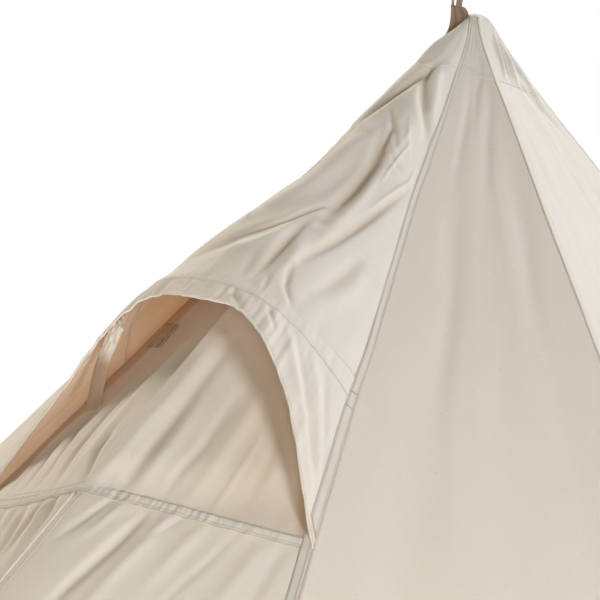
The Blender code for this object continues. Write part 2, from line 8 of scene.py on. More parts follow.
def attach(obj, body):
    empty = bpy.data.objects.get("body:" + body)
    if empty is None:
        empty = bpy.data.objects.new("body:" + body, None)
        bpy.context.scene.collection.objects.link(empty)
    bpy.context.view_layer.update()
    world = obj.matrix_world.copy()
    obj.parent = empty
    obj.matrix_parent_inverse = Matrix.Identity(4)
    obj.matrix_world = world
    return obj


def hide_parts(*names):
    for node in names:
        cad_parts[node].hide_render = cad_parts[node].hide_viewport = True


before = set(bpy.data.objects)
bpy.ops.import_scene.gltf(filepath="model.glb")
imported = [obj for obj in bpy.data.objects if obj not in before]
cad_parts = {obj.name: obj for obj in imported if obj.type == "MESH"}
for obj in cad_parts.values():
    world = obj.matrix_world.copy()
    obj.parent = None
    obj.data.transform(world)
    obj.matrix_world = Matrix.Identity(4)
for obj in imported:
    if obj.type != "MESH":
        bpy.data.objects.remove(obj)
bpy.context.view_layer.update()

print("frame loaded")


# the tent's own shape, in metres and degrees; depth is measured down from the top of the canvas
tent = {
    "apexHeight": 2.60,
    "cornerSlope": 0.93,        # how far a corner goes out for each metre down
    "doorSlope": 1.09,          # the same for the ridge where the door's halves meet
    "corners": (23.5, 63.5, 112.5, 157.5, 202.5, 247.5, 296.5, 336.5),
    "cornerNames": ("front_right", "right", "rear_right", "back_right",
                    "back_left", "rear_left", "left", "front_left"),
    "wallNames": ("wall_front_right", "wall_right", "wall_back_right", "wall_back",
                  "wall_back_left", "wall_left", "wall_front_left"),
    "wallSag": 0.016,
    "frontRounding": 1.25,
    "ventRecess": 0.0088,
    "sideDepth": 1.05,          # where the door seam and the hood meet the side seams
    "peakDepth": 0.988,         # the door seam at the ridge
    "seamRounding": 1.2,
    "sheetTop": 0.035,
    "hemHeight": 0.052,
    "collar": (0.0125, 0.045),  # how far the cloth stands off the pole's head, and down to where
    "seamSlant": 1.37,          # metres along a seam for each metre down
    "doorSlant": 1.45,
    # how the seams wander, as (depth, shift): outward, and toward the right of the one who faces the wall
    "outward": {2: ((0.0, 0.008), (0.04, 0.009), (0.10, 0.008), (0.17, 0.006), (0.30, 0.009), (0.6, 0.007),
                    (1.3, 0.0))},
    "leftOut": ((0.0, 0.0), (0.23, 0.0), (0.33, -0.010), (0.40, -0.007), (0.55, 0.0)),
    "aside": {
        0: ((0.0, 0.0), (0.08, 0.0035), (0.22, 0.0040), (0.32, 0.001), (0.40, -0.003), (0.52, -0.0015),
            (0.68, 0.0), (0.78, -0.0025), (0.95, 0.0), (1.15, 0.004), (1.6, 0.0)),
        1: ((0.0, -0.004), (0.02, -0.010), (0.05, -0.0125), (0.13, -0.0125), (0.22, -0.0105), (0.40, -0.0105),
            (0.60, -0.0075), (0.75, -0.0065), (1.3, 0.0)),
    },
}
hood = {
    "peakDepth": 0.629,
    "peakReach": 0.814,
    "sag": 0.012,
    "sagStart": 0.3,
    "sagWay": (0.0, 1.0, -0.6),
    "bandTop": (0.940, 0.218, 1.6),      # the curved seam's upper row, as a share of the way to the rim
    "bandFoot": (0.952, 0.190, 1.7),     # and its lower row
    "cutBack": 0.026,                    # the rim between its middle and its ends
    "swells": (          # middle and width as spans, height, and how much of it there is at each fall
        (-0.38, 0.33, 0.0205, ((0.54, 0.0), (0.81, 1.0), (0.92, 1.0), (1.0, 0.5))),
        (0.40, 0.35, 0.0040, ((0.54, 0.0), (0.81, 1.0), (0.92, 1.0), (1.0, 0.5))),
    ),
    "hollows": (
        (-0.58, 0.27, -0.017, ((0.30, 0.0), (0.42, 1.0), (0.52, 1.0), (0.60, 0.0))),
        (-0.66, 0.20, -0.005, ((0.86, 0.0), (0.96, 1.0))),
    ),
    "bumps": (           # span and its width, fall and its width, and height
        (-0.45, 0.20, 0.950, 0.040, 0.004),
        (0.22, 0.25, 0.560, 0.120, -0.014),
        (-0.40, 0.27, 0.115, 0.065, 0.012),
        (-0.40, 0.27, 0.215, 0.050, 0.004),
    ),
    "pinch": (0.85, 0.06, 0.2),          # the swells are held back at this fall, over this width
    "gathers": (0.0036, 0.040),          # beside the curved seam, and how far they reach
    "tight": (0.0014, 0.022),
    "broad": 0.0034,
    "fine": 0.0012,
    "crossed": 0.0024,
    "rimWaves": (0.0034, 0.0026),
}


sideNames = {1: "right", -1: "left"}


def heading(azimuth, elevation=0.0):
    angle = math.radians(azimuth)
    lift = math.radians(elevation)
    return Vector((math.sin(angle) * math.cos(lift), -math.cos(angle) * math.cos(lift), math.sin(lift)))


def atDepth(point, depth):
    return Vector((point.x, point.y, tent["apexHeight"] - depth))


def between(table, value):
    for (start, low), (end, high) in zip(table, table[1:]):
        if value < end:
            return low + (high - low) * smooth((value - start) / (end - start))
    return table[-1][1]


def seamDrift(index, depth):              # the left seams mirror the right ones
    twin = min(index, 7 - index)
    way = heading(tent["corners"][index])
    out = between(tent["outward"].get(twin, ((0.0, 0.0),)), depth)
    if index == 6:
        out += between(tent["leftOut"], depth)
    side = between(tent["aside"].get(twin, ((0.0, 0.0),)), depth) * (1 if index < 4 else -1)
    return way * out + Vector((-way.y, way.x, 0)) * side


def collar(depth):
    width, reach = tent["collar"]
    return width * bell(depth, reach)


def cornerAt(index, depth):
    reach = tent["cornerSlope"] * depth + collar(depth)
    return atDepth(heading(tent["corners"][index]) * reach + seamDrift(index, depth), depth)


def smooth(value):
    value = min(max(value, 0.0), 1.0)
    return value * value * (3 - 2 * value)


def plateau(share, rise, fall):    # up from 0 within rise, and down again over the last fall
    return smooth(share / rise) * smooth((1 - share) / fall)


def bell(offset, width):           # 1 in the middle, and next to nothing past two widths
    return math.exp(-(offset / width) ** 2)


def steps(start, end, count, power=1.0):
    return [start + (end - start) * (k / count) ** power for k in range(count + 1)]


def curve(start, middle, end, part):
    return start * (1 - part) ** 2 + middle * 2 * part * (1 - part) + end * part ** 2


def ripple(x, y, z=0.0):        # smooth noise from -1 to 1
    return noise.noise(Vector((x, y, z)))


def normalOf(surface, across, down):
    step = 0.0005
    aside = surface(across + step, down) - surface(across - step, down)
    below = surface(across, down + step) - surface(across, down - step)
    normal = aside.cross(below).normalized()
    middle = surface(across, down)
    if normal.dot(middle - Vector((0, 0, middle.z - 0.2))) < 0:
        normal.negate()
    return normal


# a fold has a width and a height in millimetres and a path over a surface in thousandths; a negative height
# is a valley
def foldPaths(surface, folds):
    made = []
    for width, height, *places in folds:
        points = [surface(across / 1000, down / 1000) for across, down in places]
        middle = sum(points, Vector()) / len(points)
        width /= 1000
        reach = max((point - middle).length for point in points) + 3 * width
        made.append((points, middle, reach, width, height / 1000))
    return made


def hollowShare(relief, full):      # from 0 on a ridge to 1 in a deep valley
    return smooth(-relief / full)


def foldRelief(point, paths):
    total = 0.0
    for points, middle, reach, width, height in paths:
        if (point - middle).length > reach:
            continue
        nearest = None
        for k in range(len(points) - 1):
            run = points[k + 1] - points[k]
            part = min(max((point - points[k]).dot(run) / run.length_squared, 0.0), 1.0)
            distance = (point - points[k] - run * part).length
            if nearest is None or distance < nearest[0]:
                nearest = (distance, (k + part) / (len(points) - 1))
        fade = math.sin(math.pi * min(max(nearest[1], 0.04), 0.96)) ** 0.6
        total += height * fade * bell(nearest[0], width)
    return total


print("shapes ready")


# materials: a wire wraps a socket, so that sums on wires add Math nodes
class Wire:
    def __init__(self, tree, socket=None):
        self.tree = tree
        self.socket = socket

    def node(self, kind, settings=None, values=None, out=0):
        made = self.tree.nodes.new("ShaderNode" + kind)
        for key, value in (settings or {}).items():
            setattr(made, key, value)
        for key, value in (values or {}).items():
            if isinstance(value, Wire):
                self.tree.links.new(value.socket, made.inputs[key])
            else:
                made.inputs[key].default_value = value
        return Wire(self.tree, made.outputs[out])

    def math(self, operation, *others, **settings):
        return self.node("Math", {"operation": operation, **settings}, dict(enumerate((self, *others))))

    def __add__(self, other):
        return self.math("ADD", other)

    def __sub__(self, other):
        return self.math("SUBTRACT", other)

    def __mul__(self, other):
        return self.math("MULTIPLY", other)

    def __truediv__(self, other):
        return self.math("DIVIDE", other)

    def __rsub__(self, other):
        return self.node("Math", {"operation": "SUBTRACT"}, {0: other, 1: self})

    __radd__ = __add__
    __rmul__ = __mul__

    def clamp(self):
        return self.math("MULTIPLY", 1.0, use_clamp=True)

    def mixed(self, first, second):       # this wire is the share of the second colour
        first, second = [value if isinstance(value, Wire) else (*value, 1.0) for value in (first, second)]
        return self.node("Mix", {"data_type": "RGBA"}, {0: self, 6: first, 7: second}, out=2)

    def grain(self, scale, detail=2.0, roughness=0.5):
        place = self.node("TexCoord", out=3)
        return self.node("TexNoise", None, {"Vector": place, "Scale": scale, "Detail": detail,
                                            "Roughness": roughness})

    def cut(self):                        # metres across and along the flat cut
        place = self.node("UVMap", {"uv_map": "cut"})
        return [self.node("SeparateXYZ", None, {0: place}, out=k) for k in (0, 1)]

    def mark(self, name):                 # a value that layCloth gave each vertex
        return self.node("Attribute", {"attribute_name": name}, out=2)

    def waves(self, pitch):
        return (self * (2 * math.pi / pitch)).math("SINE")

    def plug(self, node, name):
        self.tree.links.new(self.socket, node.inputs[name])


def newMaterial(name, roughness, metallic=0.0, sheen=0.0):
    material = bpy.data.materials.new(name)
    material.use_nodes = True
    shader = material.node_tree.nodes["Principled BSDF"]
    for key, value in (("Roughness", roughness), ("Metallic", metallic), ("Sheen Weight", sheen)):
        shader.inputs[key].default_value = value
    return material, shader, Wire(material.node_tree)


def dress(shader, colour, height=None, strength=0.5):
    colour.plug(shader, "Base Color")
    if height is not None:
        bump = height.node("Bump", None, {"Strength": strength, "Distance": 1.0, "Height": height})
        bump.plug(shader, "Normal")


clothLook = {
    "light": (0.845, 0.787, 0.726),
    "dark": (0.775, 0.706, 0.637),
    "thread": (0.42, 0.30, 0.20),
    # painted shade: the brown of the shadow lines in the seams' creases and along the strips' edges
    "creaseShade": (0.50, 0.31, 0.17),
    "speck": (0.50, 0.40, 0.30),
    "warm": (0.64, 0.50, 0.32),           # light that has bounced about in a fold
    "through": (0.86, 0.60, 0.33),        # daylight that comes through the cloth
    "throughShare": 0.37,
    "warmShare": 0.42,
    "paintedShadeShare": 0.85,
    "weavePitch": 0.0009,
    "stitchLength": 0.0045,
    "stitchWidth": 0.0011,
    "creaseWidth": 0.0026,
}


def lineMask(coordinate, lines, width):
    mask = None
    for place in lines:
        line = (1 - (coordinate - place).math("ABSOLUTE") / width).clamp()
        mask = line if mask is None else mask.math("MAXIMUM", line)
    return mask


def stitchMask(distance, along, rows):
    mask = lineMask(distance, rows, clothLook["stitchWidth"])
    dash = (along / clothLook["stitchLength"]).math("FRACT")
    gap = ((dash - 0.5).math("ABSOLUTE") * 2 - 0.62).math("MULTIPLY", 5.0, use_clamp=True)
    return mask * (1 - gap * 0.65)


# rows, creases (with their strength) and bars are places in metres along the cut, or along a mark; the
# creases are lines of painted shade; a shade colour, if given, is painted shade laid on by the vertex mark,
# as where a second layer keeps the daylight out and the hood shades the cloth; warm paints bounced light into
# the hollows of the folds
def canvasMaterial(name, rows=(), mark=None, tone=1.0, crinkle=0.35, ink=0.6, creases=(), bars=(),
                   paintedShade=None, warm=False):
    material, shader, wire = newMaterial(name, 0.88, sheen=0.15)
    across, along = wire.cut()
    slub = wire.grain(95.0, 3.0, 0.6)
    light, dark = [[value * tone for value in clothLook[key]] for key in ("light", "dark")]
    colour = (wire.grain(2.3, 3.0) * 0.7 + slub * 0.5 - 0.1).clamp().mixed(dark, light)
    weave = across.waves(clothLook["weavePitch"]) * along.waves(clothLook["weavePitch"])
    fine = wire.grain(26.0, 4.0, 0.62)
    height = weave * 0.00004 + slub * 0.00025 * crinkle + fine * 0.0016 * crinkle
    colour = ((wire.grain(210.0, 1.0) - 0.73) * 9).clamp().mixed(colour, clothLook["speck"])
    if warm:
        colour = (wire.mark("hollow") * clothLook["warmShare"]).clamp().mixed(colour, clothLook["warm"])
    # painted shade, laid on where the vertex mark says
    if paintedShade:
        colour = (wire.mark("paintedShade") * clothLook["paintedShadeShare"]).mixed(colour, paintedShade)
    if rows:
        distance, along = (wire.mark(mark), across) if mark else (across, along)
        mask = stitchMask(distance, along, rows)
        if bars:
            mask = mask.math("MAXIMUM", lineMask(along, bars, clothLook["creaseWidth"]) * 1.6)
        # painted shade along the creases
        for line, strength in creases:
            shade = lineMask(distance, (line,), clothLook["creaseWidth"])
            colour = (shade * strength).mixed(colour, clothLook["creaseShade"])
        colour = (mask * ink).clamp().mixed(colour, clothLook["thread"])
        height = height - mask * 0.0008
    dress(shader, colour, height, 0.55)
    through = wire.node("BsdfTranslucent", None, {"Color": (*clothLook["through"], 1.0)})
    surface = Wire(wire.tree, shader.outputs[0])
    both = wire.node("MixShader", None, {0: clothLook["throughShare"], 1: surface, 2: through})
    both.plug(wire.tree.nodes["Material Output"], "Surface")
    return material


def webbingMaterial():
    material, shader, wire = newMaterial("taupeWebbing", 0.8, sheen=0.1)
    across, along = wire.cut()
    ribs = (along * (2 * math.pi / 0.0022) + across.waves(0.006) * 0.8).math("SINE")
    colour = (ribs * 0.25 + wire.grain(60.0, 3.0) * 0.6 + 0.15).clamp().mixed((0.18, 0.11, 0.07),
                                                                             (0.28, 0.18, 0.115))
    dress(shader, colour, ribs * 0.0003 + across.waves(0.0016) * 0.0001, 0.6)
    return material


def nettingMaterial():
    material, shader, wire = newMaterial("ventNetting", 0.8)
    pitch = 0.0032
    first, second = [((way / pitch).math("FRACT") - 0.5).math("ABSOLUTE") for way in wire.cut()]
    dress(shader, wire.grain(40.0).mixed((0.34, 0.28, 0.22), (0.50, 0.44, 0.36)))
    ((first.math("MAXIMUM", second) - 0.36) * 30.0).clamp().plug(shader, "Alpha")
    return material


def steelMaterial():
    material, shader, wire = newMaterial("galvanisedSteel", 0.4, metallic=0.9)
    flakes = wire.node("TexVoronoi", None, {"Vector": wire.node("TexCoord", out=3), "Scale": 85.0}, out=1)
    wear = wire.grain(18.0, 5.0)
    shine = wire.node("RGBToBW", None, {0: flakes})
    dress(shader, (shine * 0.5 + wear * 0.4).clamp().mixed((0.44, 0.45, 0.46), (0.66, 0.67, 0.68)))
    (0.28 + wear * 0.3).plug(shader, "Roughness")
    return material


def rubberMaterial():
    material, shader, wire = newMaterial("blackRubber", 0.7)
    grain = wire.grain(240.0, 3.0)
    dress(shader, grain.mixed((0.018, 0.018, 0.018), (0.05, 0.05, 0.048)), grain * 0.0004, 0.4)
    return material


def zipMaterial():
    material, shader, wire = newMaterial("zipTape", 0.65)
    across, along = wire.cut()
    coil = (1 - across.math("ABSOLUTE") / 0.0032).clamp().math("GREATER_THAN", 0.05)
    cloth = wire.grain(120.0).mixed((0.34, 0.28, 0.22), (0.45, 0.38, 0.30))
    dress(shader, coil.mixed(cloth, (0.22, 0.18, 0.14)), coil * (along.waves(0.0018) * 0.0004 + 0.001), 0.7)
    return material


def patchMaterial():
    material, shader, wire = newMaterial("patchWebbing", 0.85)
    # the slit is painted near black: painted shade inside it
    slit = (1 - (wire.cut()[0] - 0.012).math("ABSOLUTE") / 0.0034).clamp() * 0.9
    spots = wire.grain(150.0, 3.0)
    cloth = ((spots - 0.5) * 2.4 + 0.5).clamp().mixed((0.34, 0.23, 0.15), (0.58, 0.44, 0.33))
    dress(shader, slit.mixed(cloth, (0.06, 0.04, 0.03)), spots * 0.0006)
    return material


canvas = canvasMaterial("creamCanvas")
hoodCanvas = canvasMaterial("hoodCanvas", warm=True)
crispCanvas = canvasMaterial("crispCanvas", crinkle=0.8)
# the creases of these seam and strip materials are painted shade lines
seamCanvas = canvasMaterial("seamCanvas", rows=(0.0036, 0.0140), tone=0.98, crinkle=0.5, ink=0.75,
                            creases=((0.0006, 0.6),))
frontSeamCanvas = canvasMaterial("frontSeamCanvas", rows=(0.0036, 0.0138), tone=0.86, crinkle=0.9, ink=0.8,
                                 creases=((0.0008, 0.66), (0.0154, 0.18)), bars=(1.0675, 1.106))
# the vent wall's second colour is painted shade, for the band beside the hood's seams
ventCanvas = canvasMaterial("ventCanvas", paintedShade=(0.60, 0.43, 0.31), warm=True)
bandCanvas = canvasMaterial("bandCanvas", rows=(0.0016, 0.0128, 0.0164), tone=0.98, crinkle=0.6, ink=0.75,
                            creases=((0.0004, 0.25), (0.0176, 0.35)))
placketCanvas = canvasMaterial("placketCanvas", rows=(0.0138,), tone=0.97, crinkle=0.5, ink=0.8,
                               creases=((0.0052, 0.6), (0.0156, 0.4)))
hemCanvas = canvasMaterial("hemCanvas", rows=(0.0030, 0.0480), tone=0.95, crinkle=0.5)
ringCanvas = canvasMaterial("ringCanvas", rows=(0.0035, 0.0100), mark="fromEdge", ink=0.4)
borderRows = (0.0018, 0.0172, 0.0800)
borderCanvas = canvasMaterial("borderCanvas", rows=borderRows, mark="fromSeam", ink=0.55)
rimCanvas = canvasMaterial("rimCanvas", tone=1.04, crinkle=0.3)
# the strap's creases are painted shade at its edges, and its second colour is the painted shade of its foot
strapCanvas = canvasMaterial("strapCanvas", rows=(0.0014, 0.0296), creases=((0.0002, 0.6), (0.0308, 0.6)),
                             paintedShade=(0.36, 0.23, 0.14))
taupeWebbing = webbingMaterial()
netting = nettingMaterial()
steel = steelMaterial()
blackRubber = rubberMaterial()
zipTape = zipMaterial()
patchWebbing = patchMaterial()
print("materials ready")


sheetThickness = {"canvas": 0.0012, "tape": 0.0006, "netting": 0.0004, "zip_tape": 0.0008, "webbing": 0.0022}


# pieces: a grid is laid out by place, which gives a point and its place on the flat cut
def layCloth(name, node, acrossValues, downValues, place, material, slot,
             thickness=None, marks=None, skip=None, closed=False):
    cloth = bmesh.new()
    columns = len(acrossValues) - 1
    rows = len(downValues) - 1
    layers = {mark: cloth.verts.layers.float.new(mark) for mark in (marks or {})}
    sheetUv = cloth.loops.layers.uv.new("cut")
    bmesh.ops.create_grid(cloth, x_segments=columns, y_segments=rows, size=1)
    spots = {}
    for vertex in cloth.verts:
        column = round((vertex.co.x + 1) / 2 * columns)
        row = round((1 - vertex.co.y) / 2 * rows)
        spots[vertex] = (acrossValues[column], downValues[row])
    if skip:
        gone = [face for face in cloth.faces
                if skip(*[sum(spots[v][k] for v in face.verts) / 4 for k in (0, 1)])]
        bmesh.ops.delete(cloth, geom=gone, context="FACES")
        spots = {vertex: spot for vertex, spot in spots.items() if vertex.is_valid}
    cuts = {}
    for vertex, spot in spots.items():
        vertex.co, cuts[vertex] = place(*spot)
        vertex.co.z = max(vertex.co.z, 0.0025)        # nothing dips into the ground
        for mark, layer in layers.items():
            vertex[layer] = marks[mark](*spot)
    for face in cloth.faces:
        for loop in face.loops:
            loop[sheetUv].uv = cuts[loop.vert]
    if closed:
        bmesh.ops.remove_doubles(cloth, verts=cloth.verts, dist=0.0001)
    cloth.normal_update()
    facing = 0.0
    for face in cloth.faces:
        middle = face.calc_center_median()
        facing += face.normal.dot(middle - Vector((0, 0, middle.z - 0.1))) * face.calc_area()
    if facing < 0:
        bmesh.ops.reverse_faces(cloth, faces=cloth.faces)
    mesh = bpy.data.meshes.new(name)
    cloth.to_mesh(mesh)
    cloth.free()
    mesh.shade_smooth()
    mesh.materials.append(material)
    piece = bpy.data.objects.new(name, mesh)
    bpy.context.scene.collection.objects.link(piece)
    body = piece.modifiers.new("thickness", "SOLIDIFY")
    body.thickness = thickness or sheetThickness[slot]
    body.offset = -1
    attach(piece, "root")
    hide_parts(node)
    return piece


# the walls
walls = {
    "fan": 0.0042,            # soft folds that spread from the top
    "fine": 0.0012,
    "creases": 0.0007,
    "slack": (0.006, 0.12),   # loose folds at the foot, and how far up they go
    "swell": (0.003, 0.009, 0.010, 0.004, 0.004, 0.008, 0.034),
    "swellDown": ((0.0, 0.0), (0.7, 1.0)),      # how the swell grows with depth
    "leftSwellDown": ((0.0, 0.0), (0.34, -0.16), (0.46, 0.0), (0.85, 1.0)),
    "pucker": 0.0009,         # small gathers beside the seams
    "columns": (84, 84, 44, 44, 44, 44, 60),
    "rows": (200, 200, 110, 110, 110, 110, 150),
    "crisp": (1.0, 2.4, 1.0, 1.0, 1.0, 1.0, 1.4),
    "frontFolds": (
        (8, -2.8, (720, 80), (620, 132), (490, 168), (420, 240)),
        (11, -3.2, (860, 130), (700, 206), (620, 256), (560, 380)),
        (9, -2.2, (420, 100), (360, 170), (300, 260), (270, 360)),
        (20, -4, (860, 300), (800, 460), (720, 660)), (22, -3.6, (300, 420), (330, 580), (300, 800)),
    ),
    "sideFolds": (
        (4, 5.8, (850, 35), (620, 67), (500, 92), (330, 130)),
        (3.6, -5, (900, 45), (670, 74), (520, 102), (420, 130)),
        (4, 5.8, (980, 50), (850, 78), (660, 112), (600, 145)), (4, -5, (990, 70), (930, 96), (760, 128)),
        (4, 3.4, (990, 90), (950, 120), (900, 165)),
        (6.5, -3.4, (600, 120), (700, 153), (740, 178), (720, 215)),
        (7, -3.4, (830, 125), (790, 179), (860, 225)),
    ),
}


def wallFlat(index, share, depth):
    start = cornerAt(index, depth)
    chord = cornerAt(index + 1, depth) - start
    inward = Vector((-chord.y, chord.x, 0)).normalized()
    return start + chord * share + inward * tent["wallSag"] * chord.length * 4 * share * (1 - share)


def wallPaths(index):         # the left walls mirror the right ones
    def surface(share, depth):
        return wallFlat(index, share if index < 4 else 1 - share, depth)
    return foldPaths(surface, walls["frontFolds" if index in (0, 6) else "sideFolds"])


wallFolds = [wallPaths(index) for index in range(7)]


def wallRelief(index, share, depth):
    width = (cornerAt(index + 1, depth) - cornerAt(index, depth)).length
    edge = min(share, 1 - share) * width
    calm = 1 - bell(edge, 0.06)
    growth = min(depth, 1.5)
    crisp = walls["crisp"][index]
    fan = ripple(share * 5.2 + index * 7.3, depth * 0.45, index) * walls["fan"] * growth
    fine = ripple(share * 15 + index, depth * 1.3, 5.0) * walls["fine"] * growth * crisp
    creases = ripple(share * width * 24, depth * 10, index + 2.0) * walls["creases"] * crisp
    tight = (1 - bell(edge, 0.009)) * math.exp(-edge / 0.035)
    pucker = ripple(depth * 34, share * 3, index) * walls["pucker"] * tight
    loose, reach = walls["slack"]
    slack = math.exp((depth - tent["apexHeight"]) / reach) * ripple(share * width * 9, 1.0, index) * loose
    grown = between(walls["leftSwellDown" if index == 6 else "swellDown"], depth) * smooth(2.4 - depth)
    swell = walls["swell"][index] * 4 * share * (1 - share) * grown
    folds = foldRelief(wallFlat(index, share, depth), wallFolds[index]) * (1 - bell(edge, 0.006))
    return calm * (fan + fine + creases + slack) + pucker + swell + folds


def wallPlace(index, share, depth, lift=0.0):
    def surface(across, down):
        return wallFlat(index, across, down)
    normal = normalOf(surface, share, depth)
    return surface(share, depth) + normal * (wallRelief(index, share, depth) + lift)


def buildWall(index):
    bottom = tent["apexHeight"]
    slant = math.hypot(1.0, tent["cornerSlope"])

    def place(share, depth):
        width = (cornerAt(index + 1, depth) - cornerAt(index, depth)).length
        return wallPlace(index, share, depth), ((share - 0.5) * width, depth * slant)

    shares = steps(0.0, 1.0, walls["columns"][index])
    depths = steps(tent["sheetTop"], bottom, walls["rows"][index], 1.3)
    name = tent["wallNames"][index]
    look = crispCanvas if index == 1 else canvas
    piece = layCloth(name + "_cloth", name, shares, depths, place, look, "canvas")
    width = (cornerAt(index + 1, bottom) - cornerAt(index, bottom)).length
    return piece, (width, bottom * slant, width * bottom * slant / 2 * 0.97)


wallPieces = [buildWall(index) for index in range(7)]
print("walls done")


# flat-felled seams: the one right of the door is sewn down on the front, the others on the wall behind
seamBand = {"width": 0.016, "height": 0.0016, "top": 0.006, "pucker": 0.0005, "foot": 1.0,
            "end": tent["apexHeight"] - tent["hemHeight"] - 0.002}


def crownShade(depth):          # what the crown adds under a seam
    return 0.0014 * (1 - smooth((depth - 0.09) / 0.04))


def seamLift(index, depth, share):
    wobble = ripple(depth * 70, index, share) * seamBand["pucker"]
    return 0.0003 + crownShade(depth) + (seamBand["height"] + wobble) * plateau(share, 0.09, 0.09)


def seamWall(index):            # the wall toward the back
    return index if index < 4 else index - 1


def buildSeam(index):
    onRight = index < 4
    wall = seamWall(index)

    def place(share, depth):
        width = (cornerAt(wall + 1, depth) - cornerAt(wall, depth)).length
        wallShare = share * seamBand["width"] / width
        point = wallPlace(wall, wallShare if onRight else 1 - wallShare, depth, seamLift(index, depth, share))
        return point, (share * seamBand["width"], depth * tent["seamSlant"])

    name = "seam_" + tent["cornerNames"][index]
    depths = steps(seamBand["top"], seamBand["end"], 320, 1.15)
    return layCloth(name + "_strip", name, bandShares, depths, place, seamCanvas, "tape")


def spanStep(surface, side, down, width):     # the span that lies a width in from the edge
    edge = surface(side, down)
    inner = surface(side * 0.95, down)
    along = (surface(side, down + 0.01) - edge).normalized()
    run = inner - edge
    return 0.05 * width / (run - along * run.dot(along)).length


def buildFrontSeam():             # the right one lies on the hood and on the door
    def stripLift(depth, share):          # it runs over the border near the foot
        wobble = ripple(depth * 60, 0.0, share) * 0.0005
        rolled = plateau(share, 0.09, 0.3)
        step = (0.0032 - 0.0012 * share) * smooth((depth - 0.63) / 0.06)
        return 0.0003 + crownShade(depth) + (0.0010 + wobble) * rolled + step

    def overHood(share, depth):
        width = 0.0080 + 0.0080 * smooth((depth - 0.08) / 0.3) + 0.0065 * smooth((depth - 0.74) / 0.12)
        fall = depth / tent["sideDepth"]
        span = 1 - spanStep(hoodFlat, 1, fall, width * share)
        along = depth * tent["seamSlant"] - 0.042 * share
        return hoodPlace(span, fall, stripLift(depth, share)), (share * seamBand["width"], along)

    def overDoor(share, depth):
        span = 1 - spanStep(frontFlat, 1, depth, 0.0190 * share + 0.0012)
        onto = ventPlace if depth < doorSeamDepth(span) else doorPlace
        lift = seamLift(0, depth, share) + 0.0016 * bell(depth - 1.045, 0.02)
        return onto(span, depth, lift), (share * seamBand["width"], depth * tent["seamSlant"])

    name = "seam_front_right"
    made = []
    for label, place, depths in (("_strip", overHood, steps(seamBand["top"], tent["sideDepth"] * 0.985, 190)),
                                 ("_foot", overDoor, steps(seamBand["foot"], seamBand["end"], 200))):
        made.append(layCloth(name + label, name, bandShares, depths, place, frontSeamCanvas, "tape"))
    return made


bandShares = (0.0, 0.03, 0.07, 0.13, 0.22, 0.4, 0.6, 0.78, 0.87, 0.93, 0.97, 1.0)
seamPieces = {index: buildSeam(index) for index in range(1, 8)}
print("seams done")


# the front: the wall under the hood, and the door's halves
front = {
    "hole": (0.55, 0.25, 0.55),     # half its span, its top and its foot
    "swell": {1: 0.011, -1: 0.003},
    "fan": 0.0026,
    "gathers": (0.0030, 0.050),     # beside the door's seam, and how far they reach
    "tight": (0.0012, 0.014),
    "fine": 0.0008,
    "seam": (0.018, 0.014),         # the strip's width, and how much of it lies over the seam
    "ridge": 0.015,                 # the width of the strip on the ridge
    "zip": (0.014, 0.0056),         # half the tape's width, and how far it's set back
    # the span from which the wall gets a band of painted shade, by depth: beside the hood's seams, where a
    # second layer keeps the daylight out and the hood shades the wall
    "paintedShade": ((0.50, 0.72), (0.64, 0.71), (0.70, 0.75), (0.76, 0.76), (0.82, 0.83), (0.90, 0.87),
                (1.0, 0.94)),
    "wallFolds": (
        (14, 6.2, (110, 700), (105, 813), (86, 874), (81, 939), (50, 985)),
        (11, -5.6, (215, 700), (208, 831), (200, 886), (193, 940), (190, 985)),
        (12, 3.6, (285, 820), (280, 899), (266, 937), (260, 985)),
        (9, -4.2, (430, 800), (421, 904), (386, 948), (380, 990)),
        (16, 4, (540, 720), (530, 860), (500, 990)), (4, 2.6, (640, 860), (620, 950), (585, 1020)),
        (12, -3, (720, 800), (720, 920), (700, 1020)),
        (6.8, -8.1, (-115, 880), (-100, 918), (-55, 940), (10, 985)),
        (17.5, 7.2, (-200, 720), (-180, 840), (-140, 970)),
        (8.1, -8.6, (-400, 820), (-374, 885), (-345, 930), (-250, 990)),
        (13.5, 5.4, (-500, 780), (-480, 900), (-420, 990)),
        (8.1, -8.1, (-700, 840), (-620, 900), (-520, 940), (-440, 990)),
        (8.1, -6.5, (-780, 860), (-730, 940), (-600, 1010)),
        (8.1, 5.4, (-860, 880), (-840, 950), (-760, 1030)),
    ),
    "doorFolds": (
        (11, -7.8, (345, 1005), (340, 1028), (313, 1070), (277, 1112), (244, 1154), (200, 1250)),
        (12, 4.6, (450, 1010), (439, 1033), (405, 1081), (373, 1127), (330, 1220)),
        (4.2, -3.6, (700, 1045), (689, 1068), (659, 1094), (626, 1120), (600, 1150), (520, 1260)),
        (5, -3.4, (510, 1010), (490, 1021), (452, 1043), (410, 1060)),
        (12, 3.4, (600, 1020), (560, 1060), (500, 1140)), (12, 3, (820, 1040), (800, 1090), (740, 1180)),
        (10, -3.4, (900, 1050), (870, 1120), (820, 1220)),
        (6, -4.4, (185, 985), (172, 999), (149, 1021), (113, 1048), (75, 1075)),
        (7, 3.2, (245, 990), (235, 1007), (206, 1039), (165, 1070)),
        (4, -2.6, (320, 1000), (311, 1008), (270, 1040)),
        (7.4, -11.2, (-125, 1000), (-112, 1015), (-60, 1045), (-30, 1080), (-20, 1150)),
        (6.1, 6.5, (-165, 1015), (-159, 1028), (-109, 1068), (-60, 1120)),
        (8.1, -8.1, (-230, 1010), (-200, 1050), (-140, 1120)),
        (8.1, -8.6, (-360, 1025), (-343, 1039), (-248, 1084), (-170, 1140)),
        (9.5, 7.2, (-460, 1030), (-440, 1050), (-350, 1100)),
        (12.1, -9, (-580, 1040), (-500, 1100), (-420, 1200)),
        (17.5, 8.1, (-780, 1050), (-720, 1130), (-660, 1240)),
    ),
}


